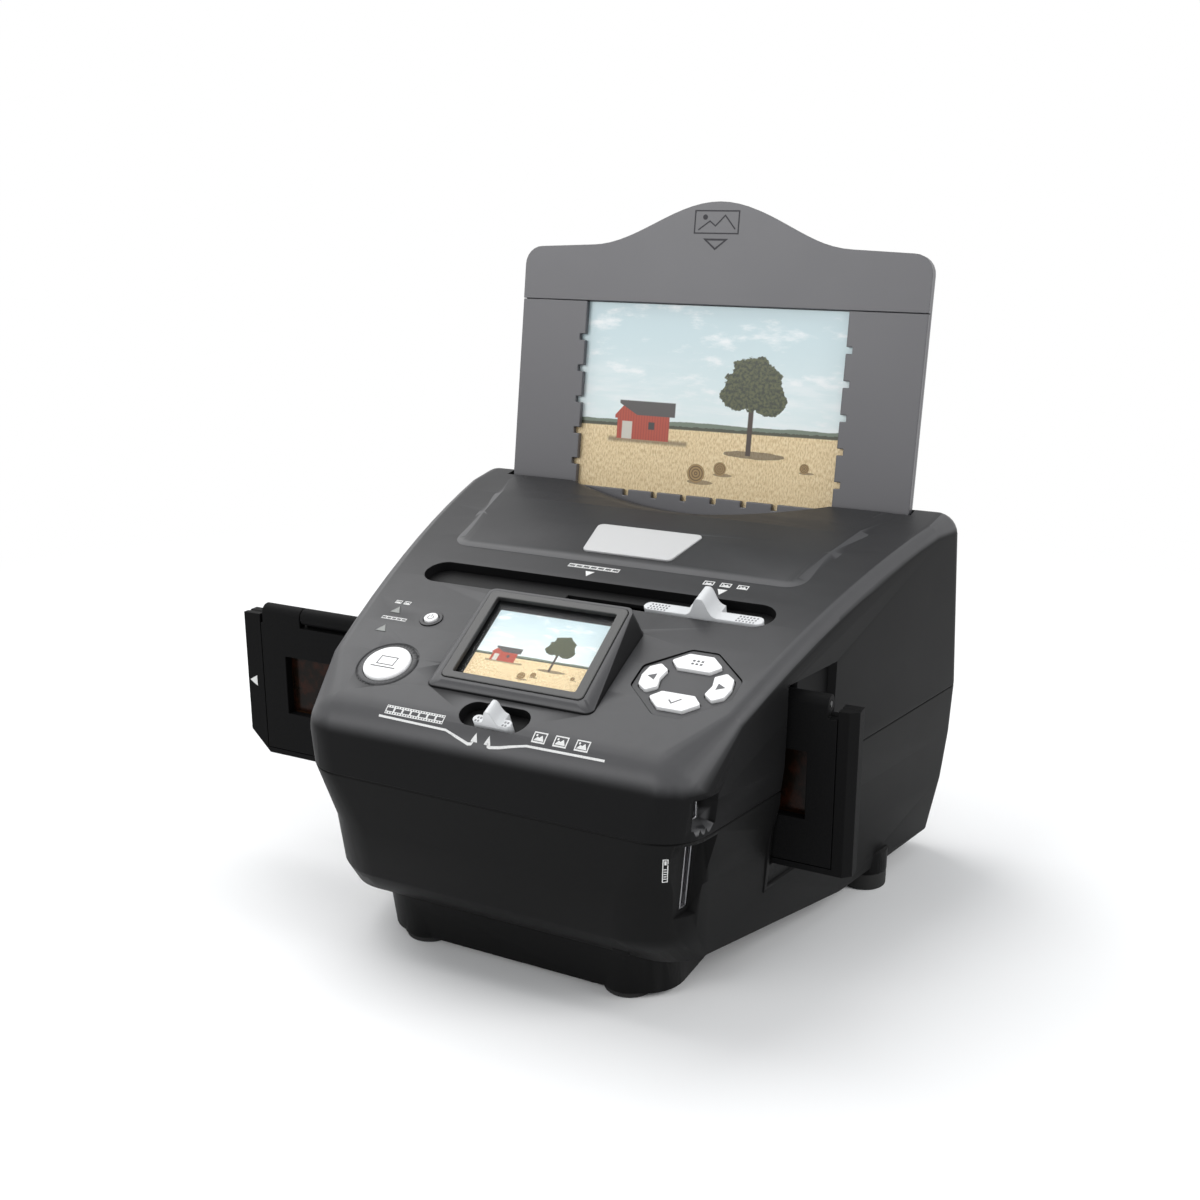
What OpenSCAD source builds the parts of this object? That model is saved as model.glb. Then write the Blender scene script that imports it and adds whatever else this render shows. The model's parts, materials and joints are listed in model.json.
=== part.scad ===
// Desk-top film and photo scanner: two-part housing on four feet, tilted display,
// six push buttons, two slide switches, a photo holder in the rear slot and a film
// holder that passes through the housing from side to side.
// Modelled about the housing's plane of symmetry: X to the right, Y to the back,
// Z up from the table; place() then puts the origin under the whole object.

/* [Housing] */
// Half width of the housing at its front wall
front_half_w = 75; // [73:0.5:77]
// Growth of the half width per millimetre towards the back
flare = 0.19; // [0.17:0.01:0.21]
// Growth of the half width from the parting line up to the panel
spread = 1.5; // [0:0.1:2.5]
// Reach of the front wall ahead of the datum
front_reach = 100; // [98:0.5:102]
// Reach of the rear wall behind the datum, at the parting line
rear_reach = 104; // [102:0.5:106]
// Forward lean of the rear wall up to the top
rear_lean = 9.5; // [8:0.5:11]
// Height of the parting line
part_z = 73; // [71:0.5:75]
// Height of the panel at its front end
panel_front_z = 98.8; // [98:0.2:100]
// Height of the top at the rear
top_rear_z = 148.4; // [147:0.2:150]
// Radius of the arched top, seen from the side
top_r = 570; // [520:10:650]
// Wall thickness
wall = 2.5; // [2:0.1:2.8]
// Upright corner radius of the housing at the front
corner_r = 18; // [16:0.5:20]
// Upright corner radius of the housing at the rear
rear_corner_r = 8; // [7:0.5:10]
// Upright corner radius of the lower housing at its waist
waist_r = 25; // [22:0.5:26]
// Rounding between front wall and panel
front_r = 17; // [15:0.5:18]
// Rounding along the sides of the panel
side_r = 6; // [5:0.5:8]
// Rounding along the rear of the top
rear_r = 9; // [8:0.5:10]
// Height of the waist where the lower housing turns steep
waist_z = 52; // [50:1:56]
// Height of the flat underside
floor_z = 10; // [9:0.5:11]
// Height of the underside at the front
nose_z = 21.5; // [20:0.5:23]
// Half width of the plinth that carries the front feet
plinth_half_w = 60; // [56:0.5:62]
// Height of the plinth's underside
plinth_z = 2.5; // [2:0.1:3.5]
// Rise of the hood above the arch, at its rear
hood_rise = 1.3; // [1:0.1:2]

/* [Feet and screws] */
// Foot radius
foot_r = 9.2; // [8:0.1:10]
// Foot height
foot_h = 7; // [6:0.5:8]
// Front feet, distance from the middle
foot_front_x = 42.2; // [40:0.2:44]
// Front feet, distance ahead of the datum
foot_front_y = 69.3; // [66:0.5:72]
// Rear feet, distance from the middle
foot_rear_x = 92; // [88:0.5:94]
// Rear feet, distance behind the datum
foot_rear_y = 46.5; // [44:0.5:60]
// Screw shaft radius
screw_r = 1.45; // [1.2:0.05:1.6]
// Screw head radius
screw_head_r = 2.9; // [2.6:0.1:3.2]

/* [Display] */
// Display frame width
lcd_w = 56.4; // [54:0.2:58]
// Display frame height
lcd_h = 42.5; // [41:0.2:43]
// Display opening width
view_w = 49; // [46:0.2:50]
// Display opening height
view_h = 36.7; // [34:0.2:38]
// Tilt of the display
lcd_tilt = 31; // [29:0.5:33]
// Lower edge of the display, distance ahead of the datum
lcd_reach = 78.6; // [76:0.2:79]
// Height of the display's lower edge above the panel
lcd_rise = 2.8; // [2.5:0.1:3.2]
// Half width of the display pod's base
pod_half_w = 33; // [32:0.2:34]

/* [Buttons] */
// Start button radius
start_r = 9; // [8:0.1:9.6]
// Power button radius
power_r = 2.75; // [2.4:0.05:3]
// Stand of the buttons above the panel
button_rise = 1; // [0.6:0.1:1.4]
// Gap around each button
button_gap = 0.3; // [0.2:0.05:0.4]

/* [Slide switches] */
// Length of the mode slider's slot
mode_slot_l = 147; // [144:1:150]
// Width of the mode slider's slot
mode_slot_w = 15; // [13:0.5:15.5]
// Length of the mode slider's knob
mode_knob_l = 46.4; // [42:0.2:47]
// Travel of the mode slider
mode_travel = 54; // [50:1:56]
// Length of the lens slider's slot
lens_slot_l = 27; // [26:0.5:28]
// Width of the lens slider's slot
lens_slot_w = 11; // [10:0.5:11.5]
// Travel of the lens slider
lens_travel = 5; // [4:0.5:5.5]

/* [Photo holder] */
// Photo holder width
holder_w = 185; // [182:1:186]
// Height of the photo holder's corners above its lower edge
holder_h = 124; // [120:1:126]
// Rise of the hump above the corners
hump_h = 19.7; // [16:0.1:22]
// Photo holder thickness
holder_t = 5; // [4.6:0.1:5.4]
// Backward lean of the photo holder
holder_lean = 8.5; // [7.5:0.5:9]
// Depth of the photo holder in its slot
holder_depth = 22; // [20:0.5:24]
// Window width
window_w = 120; // [112:1:122]
// Window height
window_h = 81.5; // [78:0.5:83]
// Print width
print_w = 127; // [124:1:128]

/* [Film holder] */
// Reach of the film holder to the left
film_left = 152.4; // [150:0.2:154]
// Reach of the film holder to the right
film_right = 111.2; // [106:0.5:114]
// Height of the film holder
film_h = 65.3; // [64:0.1:66.5]
// Thickness of the film holder
film_t = 8; // [7.4:0.2:8.4]
// Height of the film holder's lower edge above the table
film_z = 43.2; // [42:0.2:45]
// Front face of the film holder, distance ahead of the datum
film_reach = 38; // [37:0.5:39]
// Picture width on the film
frame_w = 36; // [34:0.5:36.4]
// Picture height on the film
frame_h = 25; // [23:0.5:26]
// Spacing of the pictures
frame_pitch = 38; // [37.5:0.1:38.2]

/* [Hidden] */

e = 0.01;
run = 0.3;              // running gap of moving pieces
fit = 0.05;             // gap of a round fit
fy = -front_reach;
ry = rear_reach;
wk = sqrt(1 + flare * flare);
fa = atan(flare);
function half_w(y) = front_half_w + flare * (y - fy);

// ---- arched top: a circle through its front and rear points ----
panel_in = 6;           // front end of the arch behind the front wall
rear_in = 14;           // rear end of the arch ahead of the rear wall
arch_a = [fy + panel_in, panel_front_z];
arch_b = [ry - rear_in, top_rear_z];
arch_d = arch_b - arch_a;
arch_n = [arch_d[1], -arch_d[0]] / norm(arch_d);
arch = (arch_a + arch_b) / 2
    + sqrt(top_r * top_r - arch_d * arch_d / 4) * arch_n;
function top_z(y, r = 0) = arch[1] + sqrt(pow(top_r - r, 2) - pow(y - arch[0], 2));
function tilt(y) = asin((arch[0] - y) / top_r);
module on_top(x, y, lift = 0)
    translate([x, y, top_z(y)]) rotate([tilt(y), 0, 0]) translate([0, 0, lift]) children();

// ---- underside: flat at the back, rising to the nose ----
flat_y = 20;            // front end of the flat underside
nose_y = fy + 16;       // front end of the rising underside
function under_z(y) = y >= flat_y ? floor_z
    : floor_z + (nose_z - floor_z) * (flat_y - y) / (flat_y - nose_y);

// ---- datum places on the panel ----
start_x = -54;  start_y = -74.2;
power_x = -52;  power_y = -48;
pipe_at = [[-69, -46], [-68, -57]];
nav_x = 57.6;   nav_y = -59;
board_x = -55;  board_y = -61;
pod_y = -lcd_reach + 19.6;
plate_x = 1.5;   plate_y = 20;
mode_y = -18.2;
mode_x = (mode_slot_l - mode_knob_l) / 2 - 2.7;
lens_y = -88.5;
lens_x = 0.8;
slot_depth = 4.2;       // depth of the slide switches' tracks below the panel
track_t = 1.6;
track_z = -slot_depth;
press = 0.8;            // stroke of the buttons
flange_t = 1.2;
flange_z = -wall - 0.25;
board_t = 1.6;
board_z = -9.6;         // top of the button boards below the panel
switch_h = 3.2;

// ---- optics ----
axis_z = film_z + 31.8;
film_y = -film_reach;
film_back = film_y + film_t;
guide_t = 2;
guide_front = film_y - run - guide_t;
guide_back = film_back + run + guide_t;
light_y = guide_back + run;
light_t = 8;
light_half_w = frame_w / 2 + 4;
lever_r = 16;           // height of the focus lever's drive above the lens axis
barrel_r = 8;
ring_y = -70;
ring_w = 7;
mount_y = -80;          // front face of the camera bracket

// ---- photo holder ----
holder_y = ry - 22;          // front face of the photo holder at the arch
holder_in = 100;        // travel down to full depth
win_low = 19.5;         // window's lower edge above the holder's lower edge
seam_s = win_low + window_h;
frame_t = holder_t / 2 + 0.1;
rail_t = 2;
module at_holder(s = 0)
    translate([0, holder_y, top_z(holder_y)]) rotate([-holder_lean, 0, 0])
        translate([0, 0, s]) children();

// ---- shared outlines ----
function rounded(p, r, n = 6) = [for (i = [0:len(p) - 1])
    let (q = p[i], a = p[(i + len(p) - 1) % len(p)] - q, b = p[(i + 1) % len(p)] - q,
        u = a / norm(a), v = b / norm(b), h = acos(u * v) / 2,
        c = q + (u + v) / norm(u + v) * r / sin(h),
        s = q + u * r / tan(h) - c, t = q + v * r / tan(h) - c, w = 180 - 2 * h)
    for (k = [0:n]) c + (sin((1 - k / n) * w) * s + sin(k / n * w) * t) / sin(w)];
module rrect(w, h, r) {
    square([w - 2 * r, h], center = true);
    square([w, h - 2 * r], center = true);
    for (x = [-1, 1], y = [-1, 1])
        translate([x * (w / 2 - r), y * (h / 2 - r)]) circle(r = r, $fn = 32);
}
module obround(l, w) {
    square([l - w, w], center = true);
    for (x = [-1, 1]) translate([x * (l - w) / 2, 0]) circle(d = w, $fn = 48);
}
module sides() for (s = [-1, 1]) scale([s, 1, 1]) children();
module rod_x(x0, x1, y, z, r) translate([x0, y, z]) rotate([0, 90, 0])
    cylinder(r = r, h = x1 - x0, $fn = 40);
module rod_y(y0, y1, x, z, r) translate([x, y0, z]) rotate([-90, 0, 0])
    cylinder(r = r, h = y1 - y0, $fn = 48);

// ---- housing forms: o is the inset from the outer face ----
module posts(y, r, inset, z, o, h = e)
    for (s = [-1, 1]) translate([s * (half_w(y) - inset - r * wk), y, z])
        cylinder(r = r - o, h = h, $fn = 40);
ball_n = 11;
ball_y0 = fy + 1 + front_r;
ball_y1 = ry - rear_lean - rear_r;
module upper_form(o, drop = 0) hull() {
    posts(fy + corner_r, corner_r, 0, part_z - drop, o, 1);
    posts(ry - rear_corner_r, rear_corner_r, 0, part_z - drop, o, 1);
    for (i = [0:ball_n]) let (y = ball_y0 + (ball_y1 - ball_y0) * i / ball_n,
        r = i == 0 ? front_r : i == ball_n ? rear_r : side_r)
        for (s = [-1, 1]) translate([s * (half_w(y) + spread - r * wk), y, top_z(y, r)])
            sphere(r = r - o, $fn = i == 0 ? 48 : 32);
}
module waist_ring(o, h = e) {
    posts(fy + 2.6 + waist_r, waist_r, 4.7, waist_z, o, h);
    posts(ry - 1.3 - rear_corner_r, rear_corner_r, 0.4, waist_z, o, h);
}
plinth_r = 16;
module plinth_ring(x, y, z, o) for (s = [-1, 1])
    translate([s * (x - plinth_r), y, z]) cylinder(r = plinth_r - o, h = e, $fn = 40);
module lower_form(o, up = 0) {
    hull() {
        posts(fy + corner_r, corner_r, 0, part_z - e, o, up + e);
        posts(ry - rear_corner_r, rear_corner_r, 0, part_z - e, o, up + e);
        waist_ring(o);
    }
    hull() {
        waist_ring(o, 1);
        posts(fy + 3.6 + waist_r, waist_r, 7, 34, o);
        posts(ry - 4.6 - rear_corner_r, rear_corner_r, 1.2, 32, o);
        posts(nose_y + 18, 18, 7.5, nose_z + o, o);
        posts(flat_y, 20, 4.5, floor_z + o, o);
        posts(ry - 10 - rear_corner_r, rear_corner_r, 3.4, floor_z + o, o);
    }
    hull() for (d = [[0, 0, plinth_z + o], [0.8, 3.5, nose_z + 4]]) {
        plinth_ring(plinth_half_w + d[0], plinth_y - d[1], d[2], o);
        plinth_ring(plinth_half_w + d[0], flat_y - 30, d[2], o);
    }
}
plinth_y = -foot_front_y - foot_r + 1 + plinth_r;      // its front lies just behind the feet's front

// ---- side walls: local x out of the wall, y along it, z up ----
module at_wall(y, z, lean = 0)
    translate([half_w(y), y, z]) rotate([0, 0, -fa]) rotate([0, lean, 0]) children();
lean_low = 5;           // inward lean of the lower housing's sides
bay_y0 = -41;           // side recess around the film slot
bay_y1 = -8;
bay_z0 = film_z - 9;
bay_z1 = film_z + film_h + 3;
bay_d = 2;
slot_y0 = film_y - 1;
slot_y1 = film_back + 1;
module bay(x0, x1, z0, z1, lean = 0, grow = 0)
    at_wall(bay_y0, 0) translate([0, 0, part_z]) rotate([0, lean, 0])
        translate([x0, -grow, z0 - part_z - grow])
            cube([x1 - x0, (bay_y1 - bay_y0) * wk + 2 * grow, z1 - z0 + 2 * grow]);
module film_slot() translate([-200, slot_y0, film_z - 1])
    cube([400, slot_y1 - slot_y0, film_h + 2]);

// ---- ports in the right-hand wall ----
data_y = fy + 12.5; data_z = part_z + 8.8;      // data socket bay
data_w = 11;    data_h = 10.6;
port_d = 6;
card_y = fy + 12.2; card_z = part_z - 17;       // memory card bay
card_w = 17.5;  card_h = 30;
card_d = 7;
card_in = 3;            // card socket behind the bay's middle

module place() {
    translate([(film_left - right_x) / 2, -mid_y, 0]) children();
}
right_x = max(film_right, half_w(ry - rear_corner_r) + rear_corner_r * (1 - wk));
holder_back_y = holder_y + (holder_h - holder_depth + hump_h) * sin(holder_lean)
    + holder_t * cos(holder_lean);
mid_y = (fy + max(ry, holder_back_y)) / 2;

// ================= chassis =================
pillar_x = 76;  pillar_y = 30;
stand_x = 55;   stand_y = [ry - 78, ry - 50];
guide_x = 60;
pad_z = film_z - 16;
module lower_housing() color([0.12, 0.12, 0.13]) difference() {
    union() {
        difference() { lower_form(0); lower_form(wall, 2); }
        for (s = [-1, 1]) {
            translate([s * foot_front_x, -foot_front_y, plinth_z])
                cylinder(r = foot_r + 0.9, h = foot_h + 8 - plinth_z, $fn = 48);
            translate([s * foot_rear_x, foot_rear_y, foot_h])
                cylinder(r = foot_r + 0.1, h = floor_z + 6 - foot_h, $fn = 48);
            translate([s * pillar_x, pillar_y, floor_z + 1])
                cylinder(r = 4, h = part_z - floor_z - 1, $fn = 40);
            for (y = stand_y) translate([s * stand_x, y, floor_z + 1])
                cylinder(r = 2.5, h = 5, $fn = 32);
            translate([s * guide_x - 6, guide_front, under_z(guide_front) + 0.3])
                cube([12, 15, pad_z - under_z(guide_front) - 0.3]);
        }
        // rib that carries the port board
        translate([44, port_y, under_z(port_y) + 0.5])
            cube([6, 3, card_z - under_z(port_y)]);
        sides() bay(-4.5, -1, bay_z0, part_z, lean_low, 1.6);
        intersection() {
            lower_form(1);
            card_frame(-card_d - 1.4, 1, 1.5);
        }
    }
    translate([-200, -200, part_z]) cube(400);
    sides() bay(-bay_d, 9, bay_z0, part_z + 9, lean_low);
    film_slot();
    // groove along the parting line
    difference() {
        translate([-200, -200, part_z - seam_h]) cube([400, 400, 1]);
        lower_form(seam_d, 2);
    }
    card_frame(-card_d, 9, 0);
    for (s = [-1, 1]) {
        for (p = foot_at(s)) translate([p[0], p[1], -e]) {
            cylinder(r = foot_r + fit, h = foot_h + e, $fn = 48);
            cylinder(r = screw_r + fit, h = foot_h + 9, $fn = 32);
        }
        translate([s * pillar_x, pillar_y, -e]) {
            cylinder(r = screw_head_r + 0.4, h = case_head_z + e, $fn = 40);
            cylinder(r = screw_r + 0.3, h = 200, $fn = 32);
        }
        translate([s * guide_x, guide_y, pad_z - 10]) cylinder(r = screw_r + fit, h = 20, $fn = 32);
    }
    at_card() translate([-card_d - 8, card_in - card_t / 2 - 0.4, -card_slot / 2 - 0.6])
        cube([12, card_t + 0.8, card_slot + 1.2]);
}
seam_h = 0.8;
seam_d = 0.7;
function foot_at(s) = [[s * foot_front_x, -foot_front_y], [s * foot_rear_x, foot_rear_y]];
case_head_z = floor_z + 34;
guide_y = (guide_front + guide_back) / 2;
port_y = card_y + 1.2;  // rear face of the port board
card_t = 4;
card_slot = 25;
module at_card() at_wall(card_y, part_z) rotate([0, lean_low, 0])
    translate([0, 0, card_z - part_z]) children();
module card_frame(x0, x1, grow) at_card() translate([x0, 0, 0]) rotate([90, 0, 90])
    linear_extrude(x1 - x0) let (w = card_w / 2 + grow, h = card_h / 2 + grow)
        polygon([[-w, -h], [w - 3, -h], [w, h], [-w, h]]);
module at_data() at_wall(data_y, data_z) children();
module data_frame(x0, x1, grow) at_data()
    translate([x0, -data_w / 2 - grow, -data_h / 2 - grow])
        cube([x1 - x0, data_w + 2 * grow, data_h + 2 * grow]);

hood = [[0.7, 10, 74], [1, 32, 78.5], [0.9, 54, 83], [0.1, 73, 87]];
module upper_housing() color([0.2, 0.2, 0.21]) difference() {
    union() {
        difference() { upper_form(0); upper_form(wall, 3); }
        // hood behind the long slot
        hull() for (h = hood, s = [-1, 1]) on_top(s * (h[2] - 6), h[1]) {
            translate([0, 0, -wall / 2]) cylinder(r = 8, h = wall / 2, $fn = 32);
            cylinder(r1 = 8, r2 = 4.5, h = h[0] * hood_rise, $fn = 32);
        }
        // rims of the two slide switch slots, floor under the dip in the lip, data bay
        intersection() {
            upper_form(1);
            union() {
                at_holder() translate([-dip_w / 2 - 6, -lip_gap - dip_l - 3, -14.5])
                    cube([dip_w + 12, dip_l + 3, 18]);
                data_frame(-port_d - 1.4, 1, 1.2);
                on_top(0, mode_y, track_z) linear_extrude(slot_depth)
                    obround(mode_slot_l + 3, mode_slot_w + 3);
                on_top(0, lens_y, track_z) linear_extrude(slot_depth)
                    obround(lens_slot_l + 3, lens_slot_w + 3);
            }
        }
        for (s = [-1, 1]) translate([s * pillar_x, pillar_y, part_z])
            cylinder(r = 4, h = top_z(pillar_y) - 2 - part_z, $fn = 40);
        sides() bay(-4.5, -1, part_z, bay_z1, 0, 1.6);
        for (b = boss_at) on_top(b[0], b[1], board_z + 0.5)
            cylinder(r = 2, h = -board_z - 1.5, $fn = 32);
    }
    translate([-200, -200, part_z - 400]) cube(400);
    // slide switch slots
    on_top(0, mode_y, -20) linear_extrude(40) obround(mode_slot_l, mode_slot_w);
    on_top(0, lens_y, -20) linear_extrude(40) obround(lens_slot_l, lens_slot_w);
    // display pod seat and opening
    on_top(0, pod_y, -pod_sink) linear_extrude(20)
        polygon(rounded(pod_base(0.3), 3));
    on_top(0, pod_y, -10) linear_extrude(30)
        translate([0, -1.2]) square([lcd_w - 1, lcd_h - 5], center = true);
    // buttons
    on_top(start_x, start_y, -10) cylinder(r = start_r + button_gap, h = 20, $fn = 64);
    on_top(start_x, start_y, -0.7) difference() {
        cylinder(r = start_r + 3, h = 5, $fn = 64);
        translate([0, 0, -1]) cylinder(r = start_r + 2, h = 7, $fn = 64);
    }
    on_top(power_x, power_y, -10) cylinder(r = ring_r + fit, h = 20, $fn = 40);
    for (p = pipe_at) on_top(p[0], p[1], -10) linear_extrude(20) pipe_shape(0.15);
    on_top(nav_x, nav_y, -6) linear_extrude(20) polygon(rounded(nav_shape, 3));
    // name plate seat
    on_top(plate_x, plate_y, plate_seat) linear_extrude(10) polygon(rounded(plate_shape(0.25), 2.6));
    // photo slot, leaning back, with a dip in its front lip
    at_holder() translate([-holder_w / 2 - 1.5, -lip_gap, -14])
        cube([holder_w + 3, holder_t + lip_gap + 1.5, 34]);
    dip(0);
    sides() bay(-bay_d, 9, part_z - 9, bay_z1);
    film_slot();
    data_frame(-port_d, 9, 0);
    at_data() translate([-port_d - 5, -data_t / 2 - 0.3, -data_l / 2 - 0.3])
        cube([9, data_t + 0.6, data_l + 0.6]);
    for (s = [-1, 1]) translate([s * pillar_x, pillar_y, 0])
        cylinder(r = screw_r + fit, h = case_head_z + 44, $fn = 32);
}
lip_gap = 3;
// dip in the lip, to show the print's lower edge: its floor falls towards the slot
dip_w = 120;
dip_d = 9.1;
dip_l = 27;
module dip(o) at_holder() translate([0, -lip_gap, -0.8 - dip_d - o]) rotate([-4.5, 0, 0])
    intersection() {
        translate([0, 3, dip_r]) rotate([90, 0, 0]) cylinder(r = dip_r, h = dip_l + 6, $fn = 300);
        translate([-dip_w, -dip_l - 9, -1]) cube([2 * dip_w, dip_l + 20, 12]);
    }
dip_r = (dip_w * dip_w / 4 + dip_d * dip_d) / 2 / dip_d;
pod_sink = 1.3;
ring_r = 4.5;
data_t = 4;
data_l = 7.7;
plate_seat = 0.55;
boss_at = [[-42.5, -80], [-42.5, -41], [-66.5, -79],
    [nav_x - 13.2, nav_y - 17], [nav_x + 13.2, nav_y - 17],
    [nav_x - 13.2, nav_y + 17], [nav_x + 13.2, nav_y + 17]];
function pod_base(g = 0) = [[-pod_half_w - g, -23.5 - g], [pod_half_w + g, -23.5 - g],
    [pod_half_w - 1.5 + g, 24 + g], [-pod_half_w + 1.5 - g, 24 + g]];
function plate_shape(g = 0) = [[-19 - g, -12 - g], [19 + g, -12 - g],
    [23.5 + g, 12 + g], [-23.5 - g, 12 + g]];
nav_shape = [[-18.5, -5.5], [-5, -17.8], [5, -17.8], [18.5, -5.5],
    [18.5, 5.5], [5, 17.8], [-5, 17.8], [-18.5, 5.5]];
module pipe_shape(g = 0) polygon([[-2.2 - g, -1.7 - g], [2.2 + g, -1.7 - g], [0, 2.2 + 1.6 * g]]);

module rubber_feet() color([0.08, 0.08, 0.08]) for (s = [-1, 1], p = foot_at(s))
    translate([p[0], p[1], 0]) difference() {
        cylinder(r = foot_r, h = foot_h, $fn = 48);
        translate([0, 0, -e]) cylinder(r = screw_head_r + 0.6, h = foot_h / 2, $fn = 40);
        translate([0, 0, -e]) cylinder(r = screw_r + 0.3, h = foot_h + 1, $fn = 32);
    }
module screw(l) {
    difference() {
        translate([0, 0, -2]) cylinder(r = screw_head_r, h = 2, $fn = 40);
        for (a = [0, 90]) rotate([0, 0, a]) translate([-1.5, -0.35, -2 - e]) cube([3, 0.7, 1]);
    }
    translate([0, 0, -e]) cylinder(r = screw_r, h = l, $fn = 32);
}
module foot_screws() color([0.6, 0.6, 0.62]) for (s = [-1, 1], p = foot_at(s))
    translate([p[0], p[1], foot_h / 2 - e]) screw(foot_h / 2 + 7);
module case_screws() color([0.6, 0.6, 0.62]) for (s = [-1, 1])
    translate([s * pillar_x, pillar_y, case_head_z]) screw(38);
module guide_screws() color([0.6, 0.6, 0.62]) for (s = [-1, 1])
    translate([s * guide_x, guide_y, pad_z + 3]) scale([1, 1, -1]) screw(10);

// ---- display ----
module at_lcd() translate([0, -lcd_reach, top_z(-lcd_reach) + lcd_rise])
    rotate([lcd_tilt, 0, 0]) translate([0, lcd_h / 2, 0]) children();
bezel_t = 1.6;
glass_t = 1;
module_t = 4;
module display_pod() color([0.17, 0.17, 0.18]) difference() {
    hull() {
        at_lcd() translate([0, 0, -1]) linear_extrude(1) rrect(lcd_w + 3, lcd_h + 3, 3);
        on_top(0, pod_y, -pod_sink) linear_extrude(1.2) polygon(rounded(pod_base(), 3));
    }
    at_lcd() translate([0, 0, -bezel_t]) linear_extrude(9) rrect(lcd_w + 0.2, lcd_h + 0.2, 2);
    at_lcd() translate([0, 0, -30]) linear_extrude(40) rrect(lcd_w - 2, lcd_h - 2, 1);
}
module display_frame() color([0.66, 0.66, 0.64]) at_lcd() translate([0, 0, -bezel_t])
    difference() {
        linear_extrude(bezel_t + 0.4) rrect(lcd_w, lcd_h, 2);
        translate([0, 0, -1]) linear_extrude(9) rrect(view_w, view_h, 0.8);
    }
module display_glass() color([0.1, 0.12, 0.15]) at_lcd() translate([0, 0, -bezel_t - glass_t])
    linear_extrude(glass_t) rrect(lcd_w - 3, lcd_h - 3, 1);
module display_module() color([0.5, 0.52, 0.55]) at_lcd()
    translate([0, 0, -bezel_t - glass_t - module_t]) linear_extrude(module_t)
        rrect(lcd_w - 4, lcd_h - 4, 1);
module name_plate() color([0.86, 0.86, 0.86]) on_top(plate_x, plate_y, plate_seat)
    linear_extrude(1) polygon(rounded(plate_shape(), 2.4));

// ---- buttons ----
module power_ring() color([0.3, 0.3, 0.32]) on_top(power_x, power_y, -wall)
    difference() {
        cylinder(r = ring_r, h = wall + 0.4, $fn = 40);
        translate([0, 0, -1]) cylinder(r = power_r + button_gap, h = 9, $fn = 40);
    }
module indicator_pipes() color([0.75, 0.78, 0.75]) for (p = pipe_at)
    on_top(p[0], p[1], board_z + 0.3) linear_extrude(-board_z - 0.2) pipe_shape();
module nav_plate() color([0.12, 0.12, 0.13]) on_top(nav_x, nav_y) difference() {
    union() {
        translate([0, 0, -wall - 0.6]) linear_extrude(wall - 0.1) polygon(rounded(shrunk(nav_shape, 0.985), 2.8));
        translate([0, 0, -wall - 1.7]) linear_extrude(1.15) polygon(rounded(shrunk(nav_shape, 1.08), 3));
    }
    for (a = [0, 180]) rotate([0, 0, a]) {
        translate([0, 0, -9]) linear_extrude(12) polygon(rounded(grown(key_flat, key_mid), 1));
        translate([0, 0, -9]) linear_extrude(12) polygon(rounded(grown(key_side, side_mid), 1));
    }
}
function shrunk(p, k) = [for (q = p) q * k];
// a key's outline grown by the button gap, away from its middle
function grown(p, m) = [for (q = p) q + [sign(q[0] - m[0]), sign(q[1] - m[1])] * button_gap];
key_flat = [[-9.4, 10], [-6, 6.4], [6, 6.4], [9.4, 10], [4.5, 14.6], [-4.5, 14.6]];
key_mid = [0, 10];
key_side = [[8.6, -4.6], [12.2, -7.3], [15.6, -4.8], [16.5, 0], [15.6, 4.8], [12.2, 7.3],
    [8.6, 4.6], [9.6, 0]];
side_mid = [12.5, 0];
module cap(r, x, y) on_top(x, y) {
    translate([0, 0, -wall - 0.3]) cylinder(r = r, h = wall + 0.3 + button_rise - 0.5, $fn = 64);
    translate([0, 0, button_rise - 0.5]) cylinder(r1 = r, r2 = r - 0.7, h = 0.5, $fn = 64);
    translate([0, 0, flange_z - flange_t]) cylinder(r = r + 1, h = flange_t, $fn = 64);
    stem(1.6, 0, 0);
}
module stem(r, x, y) translate([x, y, board_z + switch_h + press + 0.1])
    cylinder(r = r, h = flange_z - flange_t / 2 - board_z - switch_h - press - 0.1, $fn = 32);
module start_button() color([0.93, 0.93, 0.93]) cap(start_r, start_x, start_y);
module power_button() color([0.93, 0.93, 0.93]) on_top(power_x, power_y) {
    translate([0, 0, flange_z - e]) cylinder(r = power_r, h = button_rise - flange_z, $fn = 40);
    translate([0, 0, flange_z - flange_t]) cylinder(r = power_r + 1, h = flange_t, $fn = 40);
    stem(1.2, 0, 0);
}
key_flange = -wall - 1.7 - 0.25;
module key(shape, mid, a) color([0.93, 0.93, 0.93]) on_top(nav_x, nav_y) rotate([0, 0, a]) {
    translate([0, 0, key_flange - e]) linear_extrude(button_rise - key_flange - 0.6)
        polygon(rounded(shape, 0.9));
    translate([mid[0], mid[1], key_flange - 0.9]) linear_extrude(0.9)
        polygon(rounded([for (q = shape) (q - mid) * 1.12], 1));
    translate([mid[0], mid[1], board_z + switch_h + press + 0.1])
        cylinder(r = 1.6, h = key_flange - flange_t / 2 - board_z - switch_h - press - 0.1, $fn = 32);
}
module key_top() key(key_flat, key_mid, 0);
module key_bottom() key(key_flat, key_mid, 180);
module key_right() key(key_side, side_mid, 0);
module key_left() key(key_side, side_mid, 180);
module tact(x, y) translate([x, y, board_z - e]) {
    translate([-3, -3, 0]) cube([6, 6, switch_h - 1]);
    cylinder(r = 1.7, h = switch_h, $fn = 32);
}
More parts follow.
